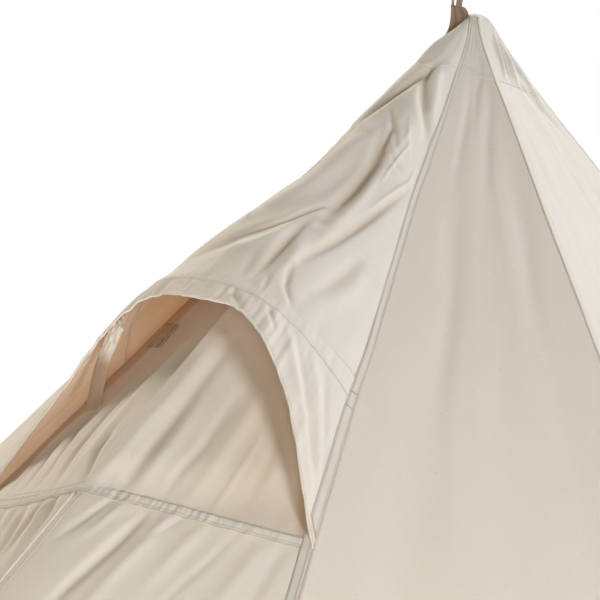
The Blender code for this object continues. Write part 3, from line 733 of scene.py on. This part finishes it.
def frontFlat(span, depth):
    side = cornerAt(0, depth)
    bow = 1 - abs(span) ** tent["frontRounding"]
    reach = -side.y + (tent["doorSlope"] * depth + side.y) * bow
    return atDepth(Vector((side.x * span, -reach, 0)), depth)


def ventFlat(span, depth):
    atSide = smooth((abs(span) - 0.82) / 0.18)        # the wall closes up to the hood and to the door
    recess = tent["ventRecess"] * span * span * (1 - atSide) + 0.0014 * atSide
    recess *= 1 - 0.9 * smooth((depth - doorSeamDepth(span) + 0.09) / 0.07)
    return frontFlat(span, depth) - heading(tent["corners"][0] * span) * recess


def doorSeamDepth(span):
    rise = tent["sideDepth"] - tent["peakDepth"]
    slip = 0.020 * math.sin(math.pi * min(-span, 1.0)) ** 0.8 if span < 0 else 0.0
    return tent["sideDepth"] - rise * (1 - abs(span) ** tent["seamRounding"]) + slip


ventFolds = foldPaths(ventFlat, front["wallFolds"])
doorFolds = foldPaths(frontFlat, front["doorFolds"])


def frontRelief(span, depth, point, folds):
    edge = min(1 - abs(span), 1.0) * cornerAt(0, depth).x
    calm = 1 - bell(edge, 0.022)
    fromSeam = abs(depth - doorSeamDepth(span) + 0.006)
    fan = ripple(span * 3.4 + 9, depth * 0.8, 1.0) * front["fan"] * min(depth, 1.6)
    along = span * cornerAt(0, depth).x
    high, reach = front["gathers"]
    gathers = ripple(along * 46 + 3, 0.4, depth * 3) * high * math.exp(-fromSeam / reach)
    high, reach = front["tight"]
    tight = ripple(along * 120, 2.6, depth * 9) * high * bell(fromSeam, reach)
    held = 1 - bell(fromSeam, 0.016) * 0.8
    fine = ripple(point.x * 26, point.z * 9, 4.0) * front["fine"]
    return calm * (held * (foldRelief(point, folds) + fan + gathers + fine) + tight)


def ventSwell(span, depth):               # the wall rises steeply beside the hood's seams
    edge = (1 - abs(span)) * cornerAt(0, depth).x
    height = front["swell"][1 if span > 0 else -1]
    return height * (1 - bell(edge, 0.022)) * smooth((depth - 0.55) / 0.1) * smooth((1.0 - depth) / 0.08)


def ventPlace(span, depth, lift=0.0):
    base = ventFlat(span, depth)
    quiet = smooth((depth - 0.5) / 0.15)
    relief = quiet * frontRelief(span, depth, base, ventFolds) + ventSwell(span, depth)
    return base + normalOf(ventFlat, span, depth) * (relief + lift)


def frontNormal(span, depth):             # taken beside the ridge, never on it
    return normalOf(frontFlat, span if abs(span) > 0.004 else math.copysign(0.004, span or 1), depth)


def doorPlace(span, depth, lift=0.0):
    base = frontFlat(span, depth)
    offRidge = 1 - bell(span * cornerAt(0, depth).x, 0.03)
    return base + frontNormal(span, depth) * (offRidge * frontRelief(span, depth, base, doorFolds) + lift)


def buildVentWall():
    half, top, foot = front["hole"]
    found = {}

    def place(span, value):          # the last rows close up to the door's seam
        depth = value
        if value > 0.8:
            depth = 0.8 + (value - 0.8) / 0.2 * (doorSeamDepth(span) + 0.004 - 0.8)
        found["depth"] = foldRelief(ventFlat(span, depth), ventFolds)
        return ventPlace(span, depth), (cornerAt(0, depth).x * span * 1.05, depth * tent["doorSlant"])

    def inHole(span, value):
        return abs(span) < half and top < value < foot

    # painted shade: a band beside the hood's seams
    def paintedShade(span, value):
        return smooth((abs(span) - between(front["paintedShade"], value)) / 0.05 + 0.5)

    def hollow(span, value):          # the side that the hood shades is warmer too
        return hollowShare(found["depth"], 0.008) + 0.7 * smooth((span - 0.2) / 0.5)

    spans = [-1 + 0.45 * k / 34 for k in range(34)] + [-half + 2 * half * k / 64 for k in range(65)]
    spans += [half + 0.45 * (k + 1) / 34 for k in range(34)]
    rows = steps(tent["sheetTop"], top, 12)[:-1] + steps(top, foot, 16)[:-1] + steps(foot, 1.0, 100)
    return layCloth("vent_wall_cloth", "vent_wall", spans, rows, place, ventCanvas, "canvas", skip=inHole,
                    marks={"paintedShade": paintedShade, "hollow": hollow})


def buildVentNet():
    half, top, foot = front["hole"]

    def place(span, depth):
        return ventPlace(span, depth, -0.0016), (cornerAt(0, depth).x * span, depth * tent["doorSlant"])

    spans = [-half - 0.03 + (2 * half + 0.06) * k / 30 for k in range(31)]
    depths = steps(top - 0.012, foot + 0.012, 24)
    return layCloth("vent_net", "vent_mesh", spans, depths, place, netting, "netting")


def buildDoor(side):
    name = "door_" + sideNames[side]

    def place(span, fall):
        top = doorSeamDepth(span) - 0.004
        depth = top + (tent["apexHeight"] - top) * fall
        return doorPlace(span * side, depth), (cornerAt(0, depth).x * span * 1.1, depth * tent["doorSlant"])

    spans = steps(0.0, 1.0, 72, 1.15)
    return layCloth(name + "_cloth", name, spans, steps(0.0, 1.0, 130, 1.25), place, canvas, "canvas")


def buildDoorSeam():
    width, rise = front["seam"]

    def place(span, share):
        depth = doorSeamDepth(span) - rise + width * share
        wobble = ripple(span * 58, share * 0.6, 8.0) * 0.0011 + ripple(span * 21, share, 3.0) * 0.0005
        flat = frontFlat(span, depth)
        lift = 0.0010 + (0.0006 + wobble) * plateau(share, 0.2, 0.12)
        relief = frontRelief(span, depth, flat, doorFolds)
        return flat + frontNormal(span, depth) * (relief + lift), (share * width, span * 0.42)

    shares = (0.0, 0.04, 0.1, 0.2, 0.35, 0.5, 0.62, 0.68, 0.74, 0.82, 0.9, 0.96, 1.0)
    spans = steps(-0.995, 0.995, 420)
    return layCloth("door_seam", "vent_seam", spans, shares, place, bandCanvas, "tape")


def buildPlacket():
    top = tent["peakDepth"] + 0.008

    def place(share, depth):
        span = share * front["ridge"] / cornerAt(0, depth).x
        piping = bell(share - 0.14, 0.11) * 0.0036
        lift = 0.0010 + 0.0012 * plateau(share, 0.09, 0.09) + piping + ripple(depth * 60, share, 2.0) * 0.0004
        point = frontFlat(span, depth) + frontNormal(span, depth) * lift
        return point, (share * 0.016, depth * tent["doorSlant"])

    shares = (0.0, 0.04, 0.08, 0.12, 0.16, 0.22, 0.3, 0.45, 0.6, 0.75, 0.86, 0.93, 0.97, 1.0)
    depths = steps(top, tent["apexHeight"] - tent["hemHeight"], 220)
    return layCloth("door_ridge", "door_placket", shares, depths, place, placketCanvas, "tape")


def buildZip():
    half, back = front["zip"]

    def place(across, depth):
        span = across / cornerAt(0, depth).x
        coil = bell(across, 0.003) * 0.0012
        point = frontFlat(span, depth) - frontNormal(span, depth) * (back + coil)
        return point, (across, depth * tent["doorSlant"])

    across = steps(-half, half, 16)
    depths = steps(tent["peakDepth"] + 0.026, tent["apexHeight"] - 0.006, 120)
    return layCloth("door_zip_tape", "door_zip", across, depths, place, zipTape, "zip_tape")


ventWall = buildVentWall()
ventNet = buildVentNet()
doors = {side: buildDoor(side) for side in sideNames}
doorSeam = buildDoorSeam()
placket = buildPlacket()
zipStrip = buildZip()
print("front done")


# the hood
hoodFolds = (
    (16, -13, (250, 162), (190, 176), (75, 206), (20, 234), (-35, 262), (-110, 290), (-195, 318),
     (-270, 344), (-360, 380)),
    (14, 5, (200, 150), (20, 190), (-160, 245), (-340, 330)),
    (18, -5, (-180, 420), (-260, 480), (-340, 540)),
    (10, -9.5, (120, 185), (190, 205), (320, 236), (470, 258), (609, 276), (735, 287), (810, 300)),
    (10, 3.4, (320, 165), (440, 186), (590, 210), (701, 233), (780, 260)),
    (6, -4.6, (0, 325), (147, 348), (251, 363), (320, 386), (335, 412), (361, 440)),
    (5, -2.2, (271, 363), (400, 385), (517, 409)),
    (15.5, -13.5, (260, 400), (295, 422), (345, 450), (365, 484), (355, 518), (342, 558), (316, 598),
     (304, 632), (300, 680)),
    (28, 13, (50, 420), (20, 468), (0, 537), (-40, 611), (-100, 660), (-180, 700)),
    (12, 6, (470, 480), (470, 523), (455, 573), (415, 635), (370, 690)),
    (7.5, -8.2, (240, 638), (215, 650), (167, 673), (131, 697), (100, 720), (50, 740), (-10, 758),
     (-150, 800)),
    (17, -6, (80, 740), (0, 775), (-120, 810), (-260, 840)),
    (14, 3.6, (200, 720), (130, 765), (30, 820), (-100, 870)),
    (6, 5.6, (830, 395), (770, 425), (700, 467), (640, 506), (585, 550)),
    (10, -10, (820, 418), (748, 458), (675, 505), (605, 562), (530, 625), (465, 685), (410, 735),
     (360, 785)),
    (14, -6, (700, 620), (665, 655), (635, 692), (580, 750), (520, 810)),
    (16, 3.6, (760, 630), (720, 690), (640, 770)),
    (3.6, 2.6, (640, 355), (615, 380), (578, 420), (556, 456), (545, 490)),
    (4, 1.6, (830, 370), (820, 387), (806, 416)), (4.5, 1.6, (460, 330), (560, 360), (700, 380)),
    (4.5, -1.6, (420, 420), (560, 430), (680, 420)),
    (12, -8.5, (225, 690), (205, 720), (198, 753), (197, 787), (196, 820), (204, 862), (208, 910)),
    (5.5, -4.6, (335, 810), (355, 835), (380, 853), (430, 862), (470, 868)),
    (12, 5, (300, 740), (310, 790), (300, 860)), (4, -3, (270, 865), (285, 885), (295, 910)),
    (12, -3.6, (100, 830), (120, 870), (140, 920)), (12, 3.6, (-60, 800), (-50, 860), (-40, 930)),
    (7, 2.6, (-270, 690), (-220, 715), (-180, 730)), (6, -4.4, (160, 945), (200, 958), (286, 970)),
    (5.5, -3.6, (380, 918), (402, 926), (469, 940)),
    (9, 4.2, (506, 905), (620, 925), (720, 937), (938, 970)),
    (7.5, -4.2, (563, 895), (700, 915), (794, 925), (946, 963)),
    (9, 4.2, (662, 865), (780, 885), (851, 904), (970, 955)),
    (7.5, -3.8, (760, 840), (870, 880), (960, 940)),
    (16, -5, (-800, 430), (-640, 540), (-520, 660), (-440, 760)),
    (16, 3, (-740, 580), (-660, 720), (-560, 800)),
)


def rimAt(span):
    foot = cornerAt(0, tent["sideDepth"])
    square = span * span
    depth = hood["peakDepth"] + (tent["sideDepth"] - hood["peakDepth"]) * square
    reach = hood["peakReach"] + (-foot.y - hood["peakReach"]) * square
    return Vector((foot.x * span, -reach, tent["apexHeight"] - depth))


def hoodFlat(span, fall):
    top = Vector((0, 0, tent["apexHeight"]))
    point = top.lerp(rimAt(span), fall)
    slack = max(0.0, (fall - hood["sagStart"]) / (1 - hood["sagStart"]))
    inward = Vector(hood["sagWay"]).normalized()
    point += inward * hood["sag"] * 4 * slack * (1 - slack) * (1 - span * span)
    depth = tent["apexHeight"] - point.z
    drift = seamDrift(0 if span > 0 else 7, depth) * span ** 4
    return point + heading(tent["corners"][0] * span) * collar(depth) + drift


hoodPaths = foldPaths(hoodFlat, hoodFolds)


def bandLine(kind, span):
    start, drop, power = hood[kind]
    return start - drop * abs(span) ** power


def rimFall(span):
    return 1 - hood["cutBack"] * smooth((abs(span) - 0.02) / 0.3) * smooth((0.97 - abs(span)) / 0.35)


def swellAt(table, span, fall):
    return sum(height * bell(span - middle, width) * between(growth, fall)
               for middle, width, height, growth in table)


def hoodRelief(span, fall, point):
    edge = (1 - abs(span)) * 0.42 * fall
    calm = 1 - bell(edge, 0.016)
    pinchFall, pinchWidth, pinch = hood["pinch"]
    swell = swellAt(hood["swells"], span, fall) * (1 - pinch * bell(fall - pinchFall, pinchWidth))
    swell += swellAt(hood["hollows"], span, fall)
    swell += sum(height * bell(span - middle, width) * bell(fall - down, length)
                 for middle, width, down, length, height in hood["bumps"])
    fromBand = abs(fall - (bandLine("bandTop", span) + bandLine("bandFoot", span)) / 2)
    high, reach = hood["gathers"]
    gathers = ripple(span * 15, 0.7, fall * 2) * high * math.exp(-fromBand / reach)
    high, reach = hood["tight"]
    tight = ripple(span * 38, 1.3, fall * 4) * high * bell(fromBand, reach)
    held = 1 - bell(fromBand, 0.014) * 0.7
    broad = ripple(span * 2.6 + fall * 3.0, fall * 1.6 - span, 6.0) * hood["broad"] * smooth(fall / 0.3)
    fine = ripple(point.x * 26, point.z * 19, 9.0) * hood["fine"]
    crossed = (1 - abs(ripple(point.x * 15 + 4, point.z * 12, 3.3))) ** 5 * hood["crossed"]
    crossed *= bell(fall - 0.36, 0.14)
    folds = foldRelief(point, hoodPaths)
    return calm * (swell + held * (folds + broad + gathers + fine + crossed) + tight)


def hoodPlace(span, fall, lift=0.0):
    base = hoodFlat(span, fall)
    return base + normalOf(hoodFlat, span, fall) * (hoodRelief(span, fall, base) + lift)


def slantOf(span):
    return (rimAt(span) - Vector((0, 0, tent["apexHeight"]))).length


def buildHood():
    found = {}

    def place(span, part):
        start = tent["sheetTop"] / (tent["apexHeight"] - rimAt(span).z)
        fall = start + (bandLine("bandTop", span) + 0.006 - start) * part
        found["depth"] = foldRelief(hoodFlat(span, fall), hoodPaths)
        return hoodPlace(span, fall), (span * 0.46 * fall, fall * slantOf(span))

    return layCloth("hood_cloth", "vent_hood", steps(-1.0, 1.0, 210), steps(0.0, 1.0, 215), place, hoodCanvas,
                    "canvas", marks={"hollow": lambda span, part: hollowShare(found["depth"], 0.010)})


def rimWave(span, part):
    long, short = hood["rimWaves"]
    wave = ripple(span * 17, 2.0, part * 0.8) * long * smooth((part - 0.25) / 0.3)
    wave += ripple(span * 36, 4.0, part * 0.5) * short * smooth((part - 0.12) / 0.3)
    return wave * (1 - span ** 4)


def buildBorder():
    def place(span, part):
        top = bandLine("bandTop", span)
        fall = top + (rimFall(span) - top) * part
        band = smooth(part / 0.02) * 0.0012
        tape = smooth((bandLine("bandFoot", span) - fall) / 0.004) * 0.0008
        return hoodPlace(span, fall, band + tape + rimWave(span, part)), (span * 0.5, fall * slantOf(span))

    def fromSeam(span, part):       # borderRows lie at the band's edges and near the rim
        top = bandLine("bandTop", span)
        foot = bandLine("bandFoot", span)
        fall = top + (rimFall(span) - top) * part
        rimRow = rimFall(span) - 0.0055 / slantOf(span)
        topRow, footRow, lastRow = borderRows
        if fall < foot:
            return topRow + (footRow - topRow) * (fall - top) / (foot - top)
        return footRow + (lastRow - footRow) * (fall - foot) / (rimRow - foot)

    parts = [0.0, 0.01, 0.02] + steps(0.04, 1.0, 40)
    return layCloth("hood_border_cloth", "hood_border", steps(-1.0, 1.0, 300), parts, place, borderCanvas,
                    "canvas", marks={"fromSeam": fromSeam})


def buildRim():                     # a narrow tape folded over the hood's edge
    section = ((-0.0045, 0.0010), (-0.0020, 0.0016), (0.0004, 0.0012), (0.0012, 0.0),
               (0.0006, -0.0022), (-0.0020, -0.0030), (-0.0045, -0.0026))

    def place(span, corner):
        along, out = section[corner]
        fall = rimFall(span) + along / slantOf(span)
        return hoodPlace(span, fall, out + 0.0004 + rimWave(span, 1.0)), (corner * 0.002, span * 0.5)

    return layCloth("hood_rim_tape", "hood_rim_binding", steps(-0.998, 0.998, 220), range(len(section)),
                    place, rimCanvas, "tape", thickness=0.0004)


hoodCloth = buildHood()
hoodBorder = buildBorder()
hoodRim = buildRim()
frontSeam = buildFrontSeam()
print("hood done")


# the doubled crown over the top of the tent: its edge is sewn flat, and a small dome closes the top
crown = {
    "edges": ((0, 0.118), (1, 0.137), (2, 0.151), (3.5, 0.142), (5, 0.130), (6, 0.122), (7, 0.116),
              (8, 0.118)),              # how far down it reaches, from seam to seam
    "start": 0.004,
    "top": 0.0030,
    "lift": 0.0012,
    "rest": 0.0004,
    "pleat": 0.0030,
}


def crownPoint(turn, depth, lift):        # turn runs from seam to seam, and over the hood from 7 to 8
    if turn <= 7:
        index = min(int(turn), 6)
        share = turn - index
        point = wallFlat(index, share, depth)
        normal = normalOf(lambda a, b: wallFlat(index, a, b), share, depth)
        relief = wallRelief(index, share, depth)
    else:
        span = (turn - 7.5) * 2
        fall = depth / (tent["apexHeight"] - rimAt(span).z)
        point = hoodFlat(span, fall)
        normal = normalOf(hoodFlat, span, fall)
        relief = hoodRelief(span, fall, point)
    return point + normal * (relief + lift)


def buildCrown():
    def side(turn, part):
        edge = between(crown["edges"], turn)
        depth = crown["start"] + (edge - crown["start"]) * part
        loose = math.sin(math.pi * (turn % 1)) ** 0.5 * math.sin(math.pi * min(part, 1.0)) ** 0.7
        pleat = abs(ripple(turn * 2.6, part * 1.2, 3.0)) * crown["pleat"] * loose * smooth(depth / 0.07)
        lift = crown["rest"] + (crown["lift"] - crown["rest"]) * (1 - smooth((part - 0.8) / 0.2))
        return crownPoint(turn, depth, lift + pleat)

    def place(turn, part):
        if part >= 0:
            return side(turn, part), (turn * 0.09, part * 0.18)
        ring = side(turn, 0.0)
        out = 1 + part
        top = tent["apexHeight"] + crown["top"]
        height = top + (ring.z - top) * out ** 2.4
        return Vector((ring.x * out, ring.y * out, height)), (turn * 0.09, part * 0.016)

    def fromEdge(turn, part):
        return (1 - part) * between(crown["edges"], turn) * 1.38

    parts = steps(-1.0, 0.0, 8)[:-1] + steps(0.0, 1.0, 50)
    return layCloth("crown_cloth", "crown_cap", steps(0, 8, 336), parts, place, ringCanvas, "canvas",
                    marks={"fromEdge": fromEdge}, closed=True)


crownCloth = buildCrown()
print("crown done")


# straps from the hood to the wall, and the patches they can be threaded through
strap = {
    "width": 0.031,
    "left": {"top": (0.45, 0.936), "foot": (0.69, 0.856), "tuck": 0.0045, "crumple": 1.3},
    "right": {"top": (0.45, 0.934), "foot": (0.83, 0.850), "tuck": 0.0130, "crumple": 0.3},
    "bow": (0.0170, 0.0130, 0.0140),    # how far its middle is drawn sideways, forward and up, twice over
    "slant": 0.0080,                    # its end is cut on the slant
    "waves": (0.0042, 0.0020),
    "curl": 0.0026,
}


def buildStrap(side):
    label = sideNames[side]
    own = strap[label]
    topSpan, topFall = own["top"]
    footSpan, footDepth = own["foot"]
    hoodSide = normalOf(hoodFlat, topSpan * side, topFall)
    top = hoodPlace(topSpan * side, topFall, -own["tuck"])
    foot = ventPlace(footSpan * side, footDepth, 0.0030)
    run = (foot - top).normalized()
    flat = hoodSide.cross(run).normalized()
    wide = Vector((-0.2 * side, 0.25, 1.0)).cross(run).normalized()
    if flat.dot(wide) < 0:
        flat.negate()
    sideways, forward, up = strap["bow"]
    bend = (top + foot) / 2 + Vector((sideways * side, -forward, up))

    def place(across, part):
        crumple = bell(part, 0.42) * own["crumple"]
        lean = flat.lerp(wide, smooth(part / 0.3)).normalized()
        half = strap["width"] / 2
        cut = strap["slant"] * smooth((part - 0.8) / 0.2) * across
        long, short = strap["waves"]
        wave = ripple(part * 15, across * 2.2, 5.0 * side) * long * crumple
        wave += ripple(part * 34, across * 3.5, 7.0) * short * crumple
        curl = (across * across - 0.5) * strap["curl"]
        aside = across * half + ripple(part * 9, 1.0, 2.0) * 0.002 * crumple
        inward = lean.cross(run).normalized()
        if inward.dot(hoodSide) > 0:
            inward.negate()
        point = curve(top, bend, foot, part) + run * cut + lean * aside
        return point + inward * (wave * smooth(part / 0.06) + curl + 0.001), ((across + 1) * half, part * 0.2)

    def paintedShade(across, part):        # painted shade: light where the crumpled top is lit, with patches of shade, and brown at the foot, which hangs in the hood's shade
        brown = smooth((part - 0.42) / 0.2)
        return brown + 0.6 * max(0.0, ripple(part * 24, across * 2.5, 9.0)) * (1 - brown)

    piece = layCloth("strap_" + label, "hood_strap_" + label, steps(-1.0, 1.0, 24), steps(0.0, 1.0, 84),
                     place, strapCanvas, "canvas", thickness=0.0016, marks={"paintedShade": paintedShade})
    length = (foot - top).length * 1.06


patch = {
    "span": (0.53, 0.34, 0.05),     # where it starts, how wide it is, and how much its top leans out
    "depth": (0.682, 0.046),        # its top and its length
    "slit": (0.2, 0.05, 0.0020),    # the slit's place, width and depth
}


def buildPatch(side):
    label = sideNames[side]
    start, width, lean = patch["span"]
    top, length = patch["depth"]
    slitPlace, slitWidth, slitDepth = patch["slit"]

    def place(across, down):
        span = side * (start + lean * (1 - down) + width * across)
        depth = top + length * down
        slit = bell(across - slitPlace, slitWidth) * slitDepth * plateau(down, 0.1, 0.1)
        lift = 0.0016 + 0.0014 * plateau(across, 0.06, 0.06) - slit
        lift += ripple(across * 5, down * 4, 3.0) * 0.0010
        return ventPlace(span, depth, lift), (across * 0.060, down * 0.085)

    return layCloth("strap_patch_cloth_" + label, "strap_patch_" + label, steps(0.0, 1.0, 40),
                    steps(0.0, 1.0, 30), place, patchWebbing, "netting", thickness=0.0006)


for side in sideNames:
    buildStrap(side)
patches = [buildPatch(side) for side in sideNames]
print("straps done")


# webbing: the loop at the top and the peg loops
def ribbon(name, node, path, across, width, thickness):
    lengths = [0.0]
    for a, b in zip(path, path[1:]):
        lengths.append(lengths[-1] + (b - a).length)

    def place(side, step):
        return path[step] + across[step] * side * width / 2, (side * width / 2, lengths[step])

    return layCloth(name, node, steps(-1.0, 1.0, 12), range(len(path)), place, taupeWebbing, "webbing",
                    thickness)


apexLoop = {
    "base": ((-45.0, 0.0645, -0.0525), (-17.0, 0.041, -0.034), (0.0, 0.0225, -0.006)),    # azimuth, out, rise
    "bend": ((0.0450, -0.0387), (0.0161, 0.0145)),
    "neck": (0.0407, 0.0112, 0.0150),
    "strands": (0.0478, 0.0350),
    "strand": ((0.0, 0.0125), (0.0010, 0.026), (0.0015, 0.050), (0.0010, 0.080)),     # bulge and rise
    "ringTop": 0.1125,
}


def buildApexLoop():
    way = heading(-45.0)
    toward = heading(45.0)
    top = Vector((0, 0, tent["apexHeight"]))
    base = [top + heading(azimuth) * out + Vector((0, 0, rise)) for azimuth, out, rise in apexLoop["base"]]
    (leftOut, leftRise), (rightOut, rightRise) = apexLoop["bend"]
    neckOut, neckHalf, neckRise = apexLoop["neck"]

    def place(side, part):            # a strip gathered from its sewn foot up to a narrow neck
        shares = (side * (side - 1) / 2, 1 - side * side, side * (side + 1) / 2)
        foot = sum((point * share for point, share in zip(base, shares)), Vector())
        mix = (side + 1) / 2
        bend = top + way * (leftOut + (rightOut - leftOut) * mix)
        bend.z += leftRise + (rightRise - leftRise) * mix
        neck = top + way * (neckOut - neckHalf * side) + Vector((0, 0, neckRise))
        pleat = math.cos(side * 8 + 0.5) * 0.0022 * smooth(part * 1.6)
        return curve(foot, bend, neck, part) + toward * (pleat + 0.001), (side * 0.019, part * 0.05)

    layCloth("apex_webbing_foot", "apex_loop", steps(-1.0, 1.0, 40), steps(0.0, 1.0, 24), place, taupeWebbing,
             "webbing")
    left, right = apexLoop["strands"]
    middle = (left + right) / 2
    half = (left - right) / 2
    ringTop = apexLoop["ringTop"]
    strand = [*apexLoop["strand"], (0.0, ringTop - 0.008)]
    outline = [(left + bulge, rise) for bulge, rise in strand]
    for k in range(13):
        turn = math.pi * k / 12
        outline.append((middle + math.cos(turn) * half, ringTop + math.sin(turn) * 0.011))
    outline += [(right - bulge, rise) for bulge, rise in reversed(strand)]
    count = len(outline) - 1
    path = []
    across = []
    for k, (out, rise) in enumerate(outline):
        turn = smooth(k / count)
        path.append(top + way * out + toward * (turn - 0.5) * 0.006 + Vector((0, 0, rise)))
        across.append((way * (0.34 + 0.36 * turn) + toward * (0.94 - 0.23 * turn)).normalized())
    ribbon("apex_webbing", "apex_loop", path, across, 0.018, sheetThickness["webbing"])


peg = {"reach": 0.059, "half": 0.0158, "off": 0.0042, "rise": 0.0102, "width": 0.0196, "thickness": 0.0024}


def pegLoop(name, place, out):
    across = Vector((-out.y, out.x, 0))
    up = Vector((0, 0, 1))
    half = peg["half"]
    outline = [(-0.001, -half)]
    for k in range(15):
        angle = math.pi * (k / 14 - 0.5)
        outline.append((peg["reach"] + math.cos(angle) * half, math.sin(angle) * half))
    outline.append((-0.001, half))
    start = place + out * peg["off"] + up * peg["rise"]
    path = [start + out * ahead + across * aside for ahead, aside in outline]
    return ribbon("peg_webbing_" + name, "peg_loop_" + name, path, [up] * len(path), peg["width"],
                  peg["thickness"])


def levelNormal(start, end):
    way = (end - start).normalized()
    return Vector((way.y, -way.x, 0))


def buildPegLoops():
    made = []
    bottom = tent["apexHeight"]
    for index, name in enumerate(tent["cornerNames"]):
        place = cornerAt(index, bottom)
        before = wallFlat(index - 1, 0.98, bottom) if index > 0 else frontFlat(0.75, bottom)
        after = wallFlat(index, 0.02, bottom) if index < 7 else frontFlat(-0.75, bottom)
        out = (levelNormal(before, place) + levelNormal(place, after)).normalized()
        made.append(pegLoop(name, place, out))
    made.append(pegLoop("door", frontFlat(0.0, bottom), Vector((0, -1, 0))))
    return made


buildApexLoop()
pegWebbing = buildPegLoops()
print("webbing done")


# the hem, one band round the foot of the canvas
def buildHem():
    bottom = tent["apexHeight"]
    turns = [("door", span) for span in steps(0.0, 1.0, 40)[:-1]]
    for index in range(7):
        turns += [(index, share) for share in steps(0.0, 1.0, 36)[:-1]]
    turns += [("door", -span) for span in steps(1.0, 0.0, 40)]

    def place(turn, share):
        kind, across = turns[turn]
        depth = bottom - tent["hemHeight"] * (1 - share)
        lift = 0.0006 + 0.0016 * smooth(share / 0.05) + ripple(turn * 0.9, share * 3, 1.0) * 0.0005
        if kind == "door":
            point = doorPlace(across if across else math.copysign(0.0001, 1 - turn), depth, lift)
        else:
            point = wallPlace(kind, across, depth, lift)
        return point, (share * tent["hemHeight"], turn * 0.045)

    shares = [0.0, 0.02, 0.05, 0.1, 0.2, 0.35, 0.5, 0.65, 0.8, 0.9, 0.96, 1.0]
    return layCloth("hem_cloth", "base_hem", range(len(turns)), shares, place, hemCanvas, "tape",
                    thickness=0.0008)


hem = buildHem()
print("hem done")


# what stays as it is in the frame gets its own finish
for node in ("pole_lower", "pole_upper", "zip_puller"):
    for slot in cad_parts[node].material_slots:
        slot.material = steel
for node in ("pole_foot", "pole_head"):
    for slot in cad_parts[node].material_slots:
        slot.material = blackRubber


# each wall's seams are gathered, and the door's strips listed, but nothing more is done with them
for index, (piece, (width, length, area)) in enumerate(wallPieces):
    seams = [strip for k, strip in seamPieces.items() if seamWall(k) == index]
for side, piece in doors.items():
    [doorSeam, placket, zipStrip] if side > 0 else []


# the studio
studio = {
    "floorSize": 60.0,
    "dome": 0.03,
    "background": 1.0,
    "lights": (           # name, azimuth, elevation, power and colour
        ("keyLow", 68.0, 8.0, 515, (0.890, 0.955, 1.000)),
        ("keyHigh", 68.0, 40.0, 48, (0.66, 0.88, 1.00)),
        ("rightBack", 118.0, 28.0, 114, (0.56, 0.81, 1.00)),
        ("front", 35.0, 0.0, 170, (0.94, 0.99, 0.97)),
        ("doorLow", 0.0, 8.0, 15, (1.00, 0.87, 0.05)),
        ("doorHigh", 0.0, 45.0, 15, (0.85, 1.00, 0.42)),
        ("left", -45.0, 20.0, 44, (1.00, 0.72, 0.05)),
        ("leftBack", -100.0, 30.0, 925, (0.975, 1.000, 0.930)),
        ("behind", 180.0, 45.0, 1085, (0.875, 0.965, 1.000)),
        ("underFront", 20.0, -30.0, 40, (0.96, 1.00, 0.93)),
    ),
    "target": (0.0, 0.0, 1.9),
    "distance": 9.0,
    "drop": 1.5,
    "lampSize": 3.0,
}


def buildStudio():
    ground = bmesh.new()
    bmesh.ops.create_grid(ground, x_segments=4, y_segments=4, size=studio["floorSize"] / 2)
    mesh = bpy.data.meshes.new("studio_floor")
    ground.to_mesh(mesh)
    ground.free()
    material, shader, wire = newMaterial("paleFloor", 0.9)
    dress(shader, wire.grain(0.4).mixed((0.86, 0.86, 0.86), (0.90, 0.90, 0.90)))
    mesh.materials.append(material)
    floor = bpy.data.objects.new("studio_floor", mesh)
    floor.location.z = -0.001
    bpy.context.scene.collection.objects.link(floor)

    world = bpy.data.worlds.new("studio")
    world.use_nodes = True
    bpy.context.scene.world = world
    nodes = world.node_tree.nodes
    nodes.remove(nodes["Background"])
    sky = Wire(world.node_tree)
    dome, shown = [sky.node("Background", None, {"Color": (1.0, 1.0, 1.0, 1.0), "Strength": studio[key]})
                   for key in ("dome", "background")]
    toCamera = sky.node("LightPath")
    sky.node("MixShader", None, {0: toCamera, 1: dome, 2: shown}).plug(nodes["World Output"], "Surface")

    for name, azimuth, elevation, power, colour in studio["lights"]:
        lamp = bpy.data.lights.new(name, "AREA")
        lamp.shape = "DISK"
        lamp.size = studio["lampSize"]
        lamp.energy = power
        lamp.color = colour
        holder = bpy.data.objects.new(name, lamp)
        way = heading(azimuth, elevation)
        low = studio["drop"] / max(-way.z, 0.2)          # a lamp under the eye stays over the floor
        holder.location = Vector(studio["target"]) + way * (low if elevation < 0 else studio["distance"])
        holder.rotation_euler = way.to_track_quat("Z", "Y").to_euler()
        bpy.context.scene.collection.objects.link(holder)
    bpy.context.scene.view_settings.view_transform = "Standard"


view = {
    "target": (0.0, 0.0, 2.6),
    "azimuth": 35.24,
    "elevation": -5.65,
    "distance": 7.280,
    "turn": 2.35,
    "tilt": 4.76,
    "roll": 5.43,
    "lens": 216.0,
}


def buildCamera():
    away = heading(view["azimuth"], view["elevation"])
    back = heading(view["azimuth"] + view["turn"], view["elevation"] + view["tilt"])
    right = Vector((0, 0, 1)).cross(back).normalized()
    up = back.cross(right)
    roll = math.radians(view["roll"])
    sideways = right * math.cos(roll) + up * math.sin(roll)
    upward = up * math.cos(roll) - right * math.sin(roll)
    lens = bpy.data.cameras.new("photoCamera")
    lens.lens = view["lens"]
    lens.sensor_width = 36.0
    lens.clip_end = 200.0
    camera = bpy.data.objects.new("photoCamera", lens)
    turned = Matrix((sideways, upward, back)).transposed().to_4x4()
    turned.translation = Vector(view["target"]) + away * view["distance"]
    camera.matrix_world = turned
    bpy.context.scene.collection.objects.link(camera)
    bpy.context.scene.camera = camera


buildStudio()
buildCamera()
print("studio ready")
